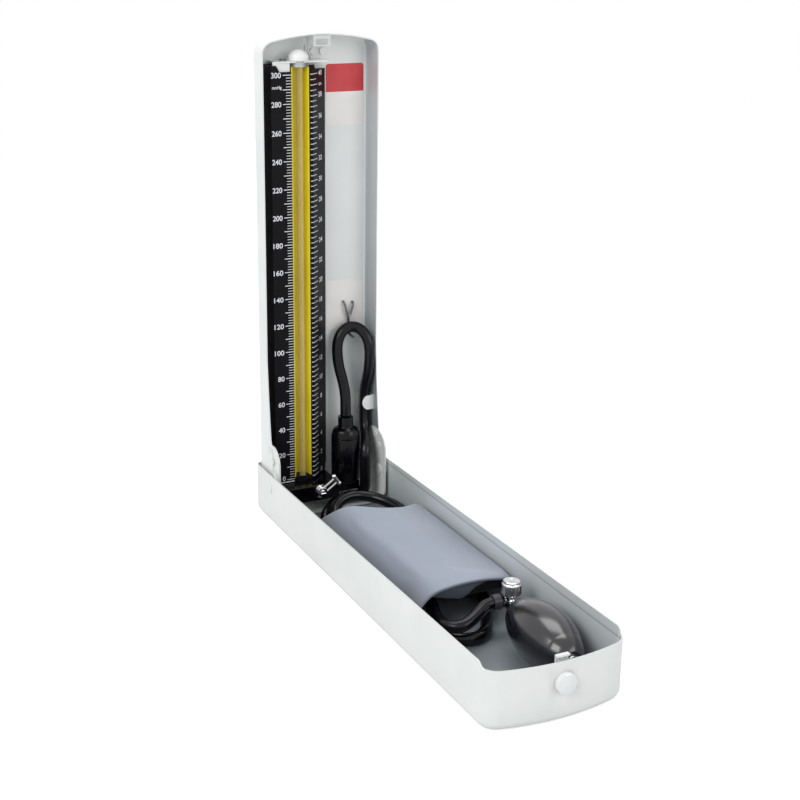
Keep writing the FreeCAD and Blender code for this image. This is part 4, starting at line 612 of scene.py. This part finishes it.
def line_through(points):
    """The smooth line of a NURBS curve through its control points, read back as points."""
    curve = bpy.data.curves.new("route", "CURVE")
    curve.dimensions = "3D"
    spline = curve.splines.new("NURBS")
    spline.points.add(len(points) - 1)
    for spot, point in zip(spline.points, points):
        spot.co = (*point, 1)
    spline.order_u = 3
    spline.use_endpoint_u = True
    spline.resolution_u = ROUTE_STEPS
    carrier = link(bpy.data.objects.new("route", curve))
    depsgraph = bpy.context.evaluated_depsgraph_get()
    mesh = bpy.data.meshes.new_from_object(carrier.evaluated_get(depsgraph))
    found = [vertex.co.copy() for vertex in mesh.vertices]
    bpy.data.objects.remove(carrier)
    bpy.data.meshes.remove(mesh)
    line = found[:1]
    for point in found[1:]:
        if (point - line[-1]).length > SAME_POINT_M:
            line.append(point)
    return line


def ring_faces(rows, sides):
    """The quads between rows of rings of vertices, and a cap on the first and the last ring."""
    faces = []
    for row in range(rows - 1):
        for k in range(sides):
            a, b = row * sides + k, row * sides + (k + 1) % sides
            faces.append((a, b, b + sides, a + sides))
    last = (rows - 1) * sides
    return faces + [tuple(reversed(range(sides))), tuple(range(last, last + sides))]


def tube_along(name, line, radius, sides=TUBE_SIDES):
    """A closed tube round the line; its ring does not twist as it goes."""
    vertices = []
    tangent = (line[1] - line[0]).normalized()
    side = tangent.orthogonal().normalized()
    for number, point in enumerate(line):
        before = line[max(number - 1, 0)]
        after = line[min(number + 1, len(line) - 1)]
        new_tangent = (after - before).normalized()
        side = tangent.rotation_difference(new_tangent) @ side
        tangent = new_tangent
        other = tangent.cross(side)
        for k in range(sides):
            angle = 2 * math.pi * k / sides
            vertices.append(point + (side * math.cos(angle) + other * math.sin(angle)) * radius)
    return mesh_object(name, vertices, ring_faces(len(line), sides))


# From the reservoir's nipple, over its loop in the lid, across the hinge and round the tray.
HOSE_ROUTE = [
    (19.6, -16.8, 69.8),
    (19.6, -16.8, 78),
    (19.9, -15.6, 86.5),
    (18.8, -14.0, 96),
    (16.1, -12.0, 107.7),
    (15.4, -10.5, 119.5),
    (16.6, -9.7, 127.6),
    (20.0, -9.2, 133.4),
    (25.2, -9.2, 136.6),
    (31.2, -10.6, 136.2),
    (35.6, -13.6, 132.6),
    (38.2, -17.0, 126),
    (38.6, -18.4, 117),
    (38.5, -17.0, 103),
    (37.7, -11.5, 87),
    (37.6, -11.5, 69),
    (36.9, -14.0, 58),
    (34.6, -21.5, 52),
    (31.2, -27.6, 47),
    (30, -29.5, 42),
    (30, -29.5, 37),
    (30, -29.5, 21),
    (30, -29.5, 16),
    (27.6, -28.2, 10.8),
    (22.9, -25.6, 8.2),
    (15.4, -23.6, 7.8),
    (7, -27.4, 8),
    (-1.5, -35.6, 7),
    (-9.6, -45, 5.8),
    (-15.2, -57.5, 5.3),
    (-19, -75, 5.3),
    (-22, -97, 5.3),
    (-23, -122, 5.3),
    (-22, -148, 5.3),
    (-24, -172, 5.3),
    (-26.4, -195, 5.3),
    (-26, -216, 5.3),
    (-22.5, -236, 5.3),
    (-13.5, -250, 5.3),
    (-1.5, -255, 5.3),
    (9, -249, 5.3),
    (16, -238, 5.3),
    (24, -224, 5.3),
    (31, -208, 5.3),
    (36.5, -189, 5.3),
    (38.6, -166, 5.3),
    (38.2, -142, 5.3),
    (39.2, -120, 5.3),
    (39.3, -105, 5.3),
    (39.6, -90.5, 5.3),
    (39.9, -83, 8.6),
    (39.2, -74, 12.6),
    (35.4, -62, 14.4),
    (29.2, -52, 15.6),
    (20.6, -46.4, 17),
    (10.5, -45.2, 18.4),
    (0.6, -47, 16.2),
    (-6, -52, 11.6),
    (-7.4, -61, 7),
    (-8.2, -71, 5.4),
    (-8.0, -80.5, 5.3),
    (-8.0, -90, 5.3),
]
line = line_through([P(*point) for point in HOSE_ROUTE])
hose = tube_along("hose", line, HOSE_RADIUS_M)
hose.data.materials.append(HOSE)
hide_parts("reservoir_hose", "hose_bend", "base_hose")
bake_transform(hose)

BULB_SPOT = (23.9, -290.5, 19.5)
BULB_YAW = math.radians(4.0)


def in_bulb(x, y, z):
    """A point of the bulb's own frame: X to its right, Y down, Z towards the release valve."""
    c, s = math.cos(BULB_YAW), math.sin(BULB_YAW)
    return P(BULB_SPOT[0] + x * c + z * s, BULB_SPOT[1] - x * s + z * c, BULB_SPOT[2] - y)


tube_points = [
    in_bulb(-4.6, -2.0, 44.9),
    in_bulb(-16.0, -2.0, 44.9),
    P(3.8, -249.1, 20),
    P(-5.6, -253.8, 17.5),
    P(-11.4, -254.9, 16.2),
    P(-16.6, -252.4, 15.2),
    P(-19.4, -247.2, 14.6),
    P(-19.4, -240.2, 14.3),
    P(-17.6, -230.5, 14.6),
    P(-13.8, -218.5, 17.1),
    P(-12, -210, 17.9),
    P(-12, -202, 17.9),
]
line = line_through(tube_points)
bulb_tube = tube_along("bulb_hose", line, HOSE_RADIUS_M)
finish_piece(bulb_tube, "base", HOSE, slot="grey_rubber", replaces=["bulb_tube"])


# ---------------------------------------------------------------- scale

FACE = -19.3  # the front of the panel's flat part
FOLD_X = -6.5  # where the panel turns forward
SLANT_END = (9.7, -3.05)
SLANT = Vector((SLANT_END[0] - FOLD_X, SLANT_END[1] - FACE)).normalized()
INK = 0.05
ZERO_HEIGHT = 27.9
MMHG_LENGTH = 0.981
MMHG_PER_KPA = 7.50062
MMHG_TOP = 300
KPA_TOP = 40
TICKS_END = -22.6
TEN_TICK = (-28.7, 0.55)  # left end and thickness
TWO_TICK = (-26.4, 0.42)
THIN_TICK = 0.5
KPA_TICK_ENDS = (-8.4, -6.6)
FOLD_BRIDGE = (-6.62, 0.05)  # from x on the face to a run on the slant
WHOLE_REACH, HALF_REACH = 8.0, 6.2
BACKING_FRONT = (-22.3, FACE + 0.2)
BACKING_REAR = (-21.2, FACE + 5.6)
BACKING_FOOT = 29.2
FOOT_LINE = (-37.0, -23.0, 26.1, 0.8)  # ends, height and thickness
MMHG_HEIGHT, KPA_HEIGHT, UNIT_HEIGHT = 3.7, 3.5, 2.2
MMHG_END = -30.0
MMHG_WIDTHS = {1: 2.3, 2: 4.9, 3: 7.2}  # by the number of digits
MMHG_UNIT = (-36.6, 313.0)
MMHG_UNIT_STRETCH = 0.86
KPA_RUN, KPA_UNIT_RUN = 13.2, 13.4
KPA_STRETCH, KPA_UNIT_STRETCH = 1.3, 1.2
KPA_UNIT_AT = 39
HALF_DIGIT = 1.75  # how far a numeral's foot is below its tick, which is less for a zero
MMHG_ZERO_DROP, KPA_ZERO_DROP = 0.6, 1.0
KPA_UNIT_DROP = 1.4
CAPITAL_SHARE = 0.72  # of a font's size
STROKE_GAIN = 0.025


class Marks:
    """Thin printed marks, gathered into one mesh."""

    def __init__(self):
        self.vertices = []
        self.faces = []

    def face(self, corners):
        """Adds one flat face."""
        start = len(self.vertices)
        self.vertices += corners
        self.faces.append(tuple(range(start, len(self.vertices))))

    def bar(self, start, end, z, height):
        """An upright strip of that height, centred on z, between two (x, y) points."""
        low, high = z - height / 2, z + height / 2
        self.face([P(*start, low), P(*end, low), P(*end, high), P(*start, high)])


def on_face(x):
    return x, FACE - INK


def on_slant(run):
    """The (x, y) of a point run millimetres along the slanted side from the fold."""
    return FOLD_X + run * SLANT.x + INK * SLANT.y, FACE + run * SLANT.y - INK * SLANT.x


def height_of(mmhg):
    """The height at which the scale reads that pressure."""
    return ZERO_HEIGHT + mmhg * MMHG_LENGTH


marks = Marks()
shade = Marks()
for value in range(0, MMHG_TOP + 1, 2):
    z = height_of(value)
    left_end, thickness = TEN_TICK if value % 10 == 0 else TWO_TICK
    marks.bar(on_face(left_end), on_face(TICKS_END), z, thickness)
    if z > BACKING_FOOT:
        shade.bar(BACKING_FRONT, BACKING_REAR, z, THIN_TICK)
for halves in range(2 * KPA_TOP + 1):
    z = height_of(halves * 0.5 * MMHG_PER_KPA)
    reach = HALF_REACH if halves % 2 else WHOLE_REACH
    marks.bar(on_face(KPA_TICK_ENDS[0]), on_face(KPA_TICK_ENDS[1]), z, THIN_TICK)
    marks.bar(on_slant(0.0), on_slant(reach), z, THIN_TICK)
    marks.bar(on_face(FOLD_BRIDGE[0]), on_slant(FOLD_BRIDGE[1]), z, THIN_TICK)
line_start, line_end, line_height, thickness = FOOT_LINE
marks.bar(on_face(line_start), on_face(line_end), line_height, thickness)

ACROSS_FACE, ACROSS_SLANT = Vector((1, 0, 0)), Vector((SLANT.x, SLANT.y, 0))
UPWARDS = Vector((0, 0, 1))


def add_text(body, height, place, across, stretch=1.0, fit=None, centred=False):
    """Adds letters to marks, their left or middle foot at place; fit is their whole width."""
    curve = bpy.data.curves.new("number", "FONT")
    curve.body = body
    curve.size = height / CAPITAL_SHARE
    curve.offset = STROKE_GAIN * height
    carrier = link(bpy.data.objects.new("number", curve))
    depsgraph = bpy.context.evaluated_depsgraph_get()
    mesh = bpy.data.meshes.new_from_object(carrier.evaluated_get(depsgraph))
    bpy.data.objects.remove(carrier)
    xs = [vertex.co.x for vertex in mesh.vertices]
    span = max(xs) - min(xs)
    origin = min(xs) + (span / 2 if centred else 0)
    if fit:
        stretch = fit / span
    for polygon in mesh.polygons:
        spots = [mesh.vertices[index].co for index in polygon.vertices]
        marks.face(
            [
                place + across * (spot.x - origin) * stretch / 1000 + UPWARDS * spot.y / 1000
                for spot in spots
            ]
        )
    bpy.data.meshes.remove(mesh)


for value in range(0, MMHG_TOP + 1, 20):
    z = height_of(value) - (HALF_DIGIT if value else MMHG_ZERO_DROP)
    wide = MMHG_WIDTHS[len(str(value))]
    place = P(*on_face(MMHG_END - wide), z)
    add_text(str(value), MMHG_HEIGHT, place, ACROSS_FACE, fit=wide)
place = P(*on_face(MMHG_UNIT[0]), MMHG_UNIT[1])
add_text("mmHg", UNIT_HEIGHT, place, ACROSS_FACE, MMHG_UNIT_STRETCH)
for value in range(0, KPA_TOP + 1, 2):
    z = height_of(value * MMHG_PER_KPA) - (HALF_DIGIT if value else KPA_ZERO_DROP)
    place = P(*on_slant(KPA_RUN), z)
    add_text(str(value), KPA_HEIGHT, place, ACROSS_SLANT, KPA_STRETCH, centred=True)
place = P(*on_slant(KPA_UNIT_RUN), height_of(KPA_UNIT_AT * MMHG_PER_KPA) - KPA_UNIT_DROP)
add_text("kPa", UNIT_HEIGHT, place, ACROSS_SLANT, KPA_UNIT_STRETCH, centred=True)
scale_marks = mesh_object("scale_marks", marks.vertices, marks.faces, smooth=False)
finish_piece(scale_marks, "lid", MARKING, slot="white_plastic")
backing_marks = mesh_object("backing_marks", shade.vertices, shade.faces, smooth=False)
finish_piece(backing_marks, "lid", SHADE_MARK, slot="black_paint")


# ---------------------------------------------------------------- labels

UPPER_LABEL = (284, 327)  # foot and top
LOWER_LABEL = (134, 171)
LABEL_SIDES = (10.2, 39.4)
LABEL_FRONT = -3.2
LABEL_THICKNESS = 0.14
LABEL_CORNER = 2.2
CORNER_STEPS = 8


def label_sheet(name, low, high):
    """A thin upright plate with rounded corners, from height low to height high."""
    x0, x1 = LABEL_SIDES[0] + LABEL_CORNER, LABEL_SIDES[1] - LABEL_CORNER
    z0, z1 = low + LABEL_CORNER, high - LABEL_CORNER
    vertices = []
    for y in (LABEL_FRONT, LABEL_FRONT + LABEL_THICKNESS):
        for x, z, start in ((x1, z1, 0), (x0, z1, 90), (x0, z0, 180), (x1, z0, 270)):
            for step in range(CORNER_STEPS + 1):
                angle = math.radians(start + step * 90 / CORNER_STEPS)
                across, upwards = LABEL_CORNER * math.cos(angle), LABEL_CORNER * math.sin(angle)
                vertices.append(P(x + across, y, z + upwards))
    return mesh_object(name, vertices, ring_faces(2, len(vertices) // 2), smooth=False)


label = label_sheet("upper_label_sheet", *UPPER_LABEL)
finish_piece(label, "lid", BANDED, slot="label_paper", replaces=["upper_label"])
label = label_sheet("lower_label_sheet", *LOWER_LABEL)
finish_piece(label, "lid", PAPER, slot="label_paper", replaces=["lower_label"])


# ---------------------------------------------------------------- release knob

KNOB_SIDES = 168
KNOB_RIDGES = 28
RIDGE_DEPTH = 0.32
RIDGES_FROM, RIDGES_TO = 1.0, 7.4
KNOB_FOOT = 6.7
KNOB_AHEAD = 43.0
CRISP_ANGLE = math.radians(35)
TOUCHING_M = 1e-7
KNOB_PROFILE = [  # radius and height
    (1.6, -2.4), (1.6, 0.0), (5.1, 0.0), (5.6, 0.4), (5.8, 0.9), (5.98, 1.1), (6.0, 2.6),
    (6.0, 4.2), (6.0, 5.8), (5.98, 7.2), (5.7, 7.5), (5.2, 8.0), (5.1, 8.4), (5.4, 8.7),
    (5.3, 9.2), (4.8, 9.55), (2.8, 9.6), (2.4, 9.35), (0.0, 9.3),
]


def make_knob():
    """The knurled knob, turned from its profile, with its edges kept crisp."""
    vertices = []
    for radius, height in KNOB_PROFILE:
        for k in range(KNOB_SIDES):
            angle = 2 * math.pi * k / KNOB_SIDES
            ridged = RIDGES_FROM < height < RIDGES_TO
            r = radius + (RIDGE_DEPTH * math.cos(angle * KNOB_RIDGES) if ridged else 0)
            x, y = r * math.cos(angle), r * math.sin(angle)
            vertices.append(in_bulb(x, -KNOB_FOOT - height, KNOB_AHEAD + y))
    faces = ring_faces(len(KNOB_PROFILE), KNOB_SIDES)
    obj = mesh_object("release_knob", vertices, faces)
    shape = bmesh.new()
    shape.from_mesh(obj.data)
    bmesh.ops.remove_doubles(shape, verts=shape.verts, dist=TOUCHING_M)
    bmesh.ops.recalc_face_normals(shape, faces=shape.faces)
    shape.normal_update()
    for edge in shape.edges:
        if len(edge.link_faces) == 2 and edge.calc_face_angle(0) > CRISP_ANGLE:
            edge.smooth = False
    shape.to_mesh(obj.data)
    shape.free()
    return obj


knob = make_knob()
finish_piece(knob, "release_knob", CHROME, slot="chrome", replaces=["release_valve_knob"])


# ---------------------------------------------------------------- latch spring

SPRING_WIRE_M = 0.00035
SPRING_SIDES = 10
SPRING_TURNS = 4
TURN_STEPS = 24

low, high = (Vector(corner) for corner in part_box("latch_spring"))
reach = (high.x - low.x) / 2 - SPRING_WIRE_M
steps = SPRING_TURNS * TURN_STEPS
coil = []
for k in range(steps + 1):
    angle = 2 * math.pi * k / TURN_STEPS
    along = (high.y - low.y - 2 * SPRING_WIRE_M) * k / steps
    coil.append(
        Vector(
            (
                (low.x + high.x) / 2 + reach * math.cos(angle),
                low.y + SPRING_WIRE_M + along,
                (low.z + high.z) / 2 + reach * math.sin(angle),
            )
        )
    )
return_spring = tube_along("return_spring", coil, SPRING_WIRE_M, SPRING_SIDES)
finish_piece(return_spring, "base", STEEL, slot="bright_steel", replaces=["latch_spring"])
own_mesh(return_spring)


# ---------------------------------------------------------------- cuff

CUFF_HALF = 43.9
COLUMNS = 56
TOP_STEPS = 60
# Lines across the case, as (x, y) stops: the rear fold and the hem.
REAR = [
    (-44, -96), (-38, -89.6), (-24, -88.8), (-10, -90.8), (5, -100.8), (20, -103.8), (31, -99),
    (38, -95), (44, -100),
]
FRONT = [
    (-44, -235), (-38, -239.4), (-30, -236), (-21, -231.8), (-8, -230.2), (13, -228.2),
    (31, -226.2), (40, -224.4), (44, -219),
]
# The lining's lower edge, as (x, height) stops.
LINING_EDGE = [
    (-23, 25.6), (-16, 22.9), (-8.8, 20.8), (-1, 18.6), (3.5, 17.8), (7.6, 18.8), (14.3, 23.6),
    (26.6, 27.4),
]
CROWN_TOP, CROWN_RISE, CROWN_REACH = 32.9, 7.6, 44.3
CROWN_RADIUS = (CROWN_REACH ** 2 + CROWN_RISE ** 2) / (2 * CROWN_RISE)
ROLL_WIDTH, ROLL_DROP = 6.0, 5.0
LEFT_START, LEFT_WIDTH, LEFT_DROP, LEFT_POWER = -14, 30, 6.5, 1.7
# Parts of the section: distances ahead of the rear fold, the hem or the recess, and heights.
REAR_WALL = [(-2, 10), (-0.4, 11), (0, 13.5), (0.3, 17)]
FOLD_RADIUS = 4
HEM_EDGE = [(0, -2.0), (-0.3, -2.8), (0.3, -3.5), (1.6, -3.9)]
HEM_FADE, HEM_DIP = 16, 1.5
RIPPLE, RIPPLE_X, RIPPLE_Y = 0.35, 27, 21
WRINKLE, WRINKLE_X, WRINKLE_Y, WRINKLE_SEED = 0.5, 34, 46, 1.7
RECESS = -211.0
RECESS_TOP, RECESS_LIP = 22.8, 2
RECESS_WALL = [(-0.6, 21.8), (0, 20), (0, 16), (0, 12), (0.8, 10.4)]
UNDER_STEPS, UNDER_POWER = 7, 1.4
FOOT_HEIGHT, FOOT_STEPS = 9.9, 9
FOOT_FRONT, FOOT_REAR = 3, 4
HELD_ROWS = 3
TOP_LOOK, UNDER_LOOK, HEM_LOOK, LINING_LOOK = range(4)  # the cuff's material slots
BEAD_RADIUS_M = 0.00085
BEAD_SIDES = 10
SIM_FRAMES = 16
SIM_CAP_M = 0.003
SIM_SETTINGS = {
    "quality": 6,
    "mass": 0.2,
    "tension_stiffness": 18,
    "compression_stiffness": 18,
    "shear_stiffness": 8,
    "bending_stiffness": 1.5,
    "use_pressure": True,
    "uniform_pressure_force": 4,
}
LINING_STEPS = (40, 8)
LINING_START, LINING_WIDTH = -23, 49.6
LINING_INSET = 3.2
LINING_FRONT = -225.4
LINING_BULGE = 1.6
LINING_HANG = 0.6
LINING_THICKNESS = (1.3, 0.2)


def through(stops, x):
    """The value at x of a smooth line through (x, value) stops."""
    last = len(stops) - 1
    k = max(0, min(last - 1, sum(1 for stop in stops[1:-1] if stop[0] <= x)))
    slopes = []
    for n in (k, k + 1):
        before, after = stops[max(n - 1, 0)], stops[min(n + 1, last)]
        slopes.append((after[1] - before[1]) / (after[0] - before[0]))
    (x0, v0), (x1, v1) = stops[k], stops[k + 1]
    span = x1 - x0
    t = (x - x0) / span
    return (
        v0 * (1 + 2 * t) * (1 - t) ** 2
        + v1 * t * t * (3 - 2 * t)
        + slopes[0] * span * t * (1 - t) ** 2
        - slopes[1] * span * t * t * (1 - t)
    )


def crown(x):
    """Height of the folded cuff's top across the case; it falls away to the left."""
    side = min(1.0, (CUFF_HALF - abs(x)) / ROLL_WIDTH)
    rolled = ROLL_DROP * (1 - math.sqrt(max(0.0, 1 - (1 - side) ** 2)))
    left = LEFT_DROP * max(0.0, (LEFT_START - x) / LEFT_WIDTH) ** LEFT_POWER
    return CROWN_TOP - CROWN_RADIUS + math.sqrt(CROWN_RADIUS ** 2 - x ** 2) - rolled - left


def cuff_section(x):
    """A cut through the bundle: up its rear fold, over the top, round the hem and back beneath.

    Also gives the numbers of the points where the hem and the underside start.
    """
    rear, front, top = through(REAR, x), through(FRONT, x), crown(x)
    points = [(rear + y, z) for y, z in REAR_WALL]
    points.append((rear + 0.1, (REAR_WALL[-1][1] + top) / 2 - 1))
    centre_y, centre_z = rear - FOLD_RADIUS, top - FOLD_RADIUS
    for degrees in range(10, 91, 20):
        angle = math.radians(degrees)
        y = centre_y + FOLD_RADIUS * math.cos(angle)
        points.append((y, centre_z + FOLD_RADIUS * math.sin(angle)))
    start, end = rear - FOLD_RADIUS - 1, front + 1.0
    for step in range(TOP_STEPS + 1):
        y = start + (end - start) * step / TOP_STEPS
        near_hem = max(0.0, 1 - (y - front) / HEM_FADE)
        wave = RIPPLE * math.sin(y / RIPPLE_Y + x / RIPPLE_X)
        spot = Vector((x / WRINKLE_X, y / WRINKLE_Y, WRINKLE_SEED))
        wave += WRINKLE * noise.noise(spot)
        points.append((y, top - HEM_DIP * near_hem ** 2 + wave * (1 - near_hem)))
    hem = len(points)
    points += [(front + y, top + z) for y, z in HEM_EDGE]
    under = len(points)
    y, z = points[-1]
    for step in range(1, UNDER_STEPS + 1):
        t = step / UNDER_STEPS
        ahead_y = y + (RECESS - RECESS_LIP - y) * t
        points.append((ahead_y, z + (RECESS_TOP - z) * t ** UNDER_POWER))
    points += [(RECESS + y, z) for y, z in RECESS_WALL]
    start, end = RECESS + FOOT_FRONT, rear - FOOT_REAR
    for step in range(FOOT_STEPS + 1):
        points.append((start + (end - start) * step / FOOT_STEPS, FOOT_HEIGHT))
    return points, hem, under


def cuff_bundle():
    """The closed bundle, the points that stay put as it fills, and the line of its hem."""
    vertices, faces, looks = [], [], []
    for i in range(COLUMNS + 1):
        x = -CUFF_HALF + 2 * CUFF_HALF * i / COLUMNS
        points, hem, under = cuff_section(x)
        vertices += [P(x, y, z) for y, z in points]
    count = len(points)
    for i in range(COLUMNS):
        for j in range(count):
            a, b = i * count + j, i * count + (j + 1) % count
            faces.append((a, a + count, b + count, b))
            looks.append(UNDER_LOOK if j >= under else TOP_LOOK)
    left_end = range(count)
    right_end = range(COLUMNS * count, (COLUMNS + 1) * count)
    faces += [tuple(left_end), tuple(reversed(right_end))]
    looks += [TOP_LOOK, TOP_LOOK]
    obj = mesh_object("cuff_wrap", vertices, faces)
    obj.data.polygons.foreach_set("material_index", looks)
    fixed = [j for j in range(count) if j < HELD_ROWS or j >= under + HELD_ROWS]
    held = [i * count + j for i in range(COLUMNS + 1) for j in fixed]
    held += [*left_end, *right_end]
    hem_line = [i * count + hem + 1 for i in range(COLUMNS + 1)]
    return obj, held, hem_line


def fill_out(obj, held):
    """Lets the closed cloth fill and settle; no point moves further than the cap."""
    start = [vertex.co.copy() for vertex in obj.data.vertices]
    group = obj.vertex_groups.new(name="held")
    group.add(held, 1.0, "REPLACE")
    cloth = obj.modifiers.new("cloth", "CLOTH")
    for key, value in SIM_SETTINGS.items():
        setattr(cloth.settings, key, value)
    cloth.settings.effector_weights.gravity = 0
    cloth.settings.vertex_group_mass = group.name
    cloth.point_cache.frame_start = 1
    cloth.point_cache.frame_end = SIM_FRAMES
    for number in range(1, SIM_FRAMES + 1):
        scene.frame_set(number)
    settled = obj.evaluated_get(bpy.context.evaluated_depsgraph_get()).data
    moved = [vertex.co.copy() for vertex in settled.vertices]
    obj.modifiers.remove(cloth)
    obj.vertex_groups.remove(group)
    scene.frame_set(1)
    for vertex, first, last in zip(obj.data.vertices, start, moved):
        shift = last - first
        if shift.length > SIM_CAP_M:
            shift *= SIM_CAP_M / shift.length
        vertex.co = first + shift


def lining_fold():
    """The lining's slack edge, which hangs below the hem in one shallow swag."""
    across, down = LINING_STEPS
    front_side, back_side = [], []
    for i in range(across + 1):
        x = LINING_START + LINING_WIDTH * i / across
        high_y, high_z = through(FRONT, x) + LINING_INSET, crown(x) - LINING_INSET
        low_z = min(through(LINING_EDGE, x), high_z - LINING_HANG)
        for j in range(down + 1):
            t = j / down
            bulge = LINING_BULGE * math.sin(math.pi * t) * math.sin(math.pi * i / across)
            y = high_y + (LINING_FRONT - high_y) * t - bulge
            z = high_z + (low_z - high_z) * t
            front_side.append(P(x, y, z))
            back_side.append(P(x, y + LINING_THICKNESS[0], z + LINING_THICKNESS[1]))
    total = len(front_side)
    count = down + 1
    faces = []
    for i in range(across):
        for j in range(down):
            a = i * count + j
            faces.append((a, a + 1, a + count + 1, a + count))
            b = total + a
            faces.append((b, b + count, b + count + 1, b + 1))
    rim = [i * count for i in range(across + 1)]
    rim += [across * count + j for j in range(1, count)]
    rim += [i * count + down for i in range(across - 1, -1, -1)]
    rim += range(down - 1, 0, -1)
    for a, b in zip(rim, rim[1:] + rim[:1]):
        faces.append((a, b, b + total, a + total))
    return mesh_object("cuff_lining", front_side + back_side, faces)


def join_into(target, *others):
    """Adds the others' meshes to target's, each with the material slot given beside it."""
    shape = bmesh.new()
    shape.from_mesh(target.data)
    for other, slot in others:
        before = len(shape.faces)
        shape.from_mesh(other.data)
        shape.faces.ensure_lookup_table()
        for face in shape.faces[before:]:
            face.material_index = slot
        bpy.data.objects.remove(other)
    bmesh.ops.recalc_face_normals(shape, faces=shape.faces)
    shape.to_mesh(target.data)
    shape.free()


cuff, held, hem_line = cuff_bundle()
fill_out(cuff, held)
bead_line = [cuff.data.vertices[number].co.copy() for number in hem_line[1:-1]]
bead = tube_along("hem_bead", bead_line, BEAD_RADIUS_M, BEAD_SIDES)
join_into(cuff, (bead, HEM_LOOK), (lining_fold(), LINING_LOOK))
finish_piece(cuff, "base", CLOTH, CLOTH_UNDER_SHADE, HEM, LINING, slot="cuff_cloth", replaces=["cuff"])
smoother = cuff.modifiers.new("smooth", "SUBSURF")
smoother.levels = smoother.render_levels = 1


# ---------------------------------------------------------------- CAD edges

WELD_M = 0.000002
SOFT_SEGMENTS = 2
SOFT_ANGLE = math.radians(40)
SOFT_EDGES = {  # each node's width
    "base_shell": 0.3,
    "lid_shell": 0.3,
    "ear_bracket_left": 0.25,
    "ear_bracket_right": 0.25,
    "latch_catch": 0.25,
    "top_bracket": 0.25,
    "hose_clip": 0.25,
    "valve_block": 0.35,
    "reservoir_body": 0.35,
    "reservoir_cap": 0.35,
    "tube_cap": 0.35,
    "push_button": 0.35,
    "scale_panel": 0.35,
}

# Pressed and moulded parts have slightly rounded edges.
for name, width in SOFT_EDGES.items():
    weld = nodes[name].modifiers.new("weld", "WELD")
    weld.merge_threshold = WELD_M
    bevel = nodes[name].modifiers.new("soft_edges", "BEVEL")
    bevel.width = width / 1000
    bevel.segments = SOFT_SEGMENTS
    bevel.limit_method = "ANGLE"
    bevel.angle_limit = SOFT_ANGLE
    bevel.harden_normals = True
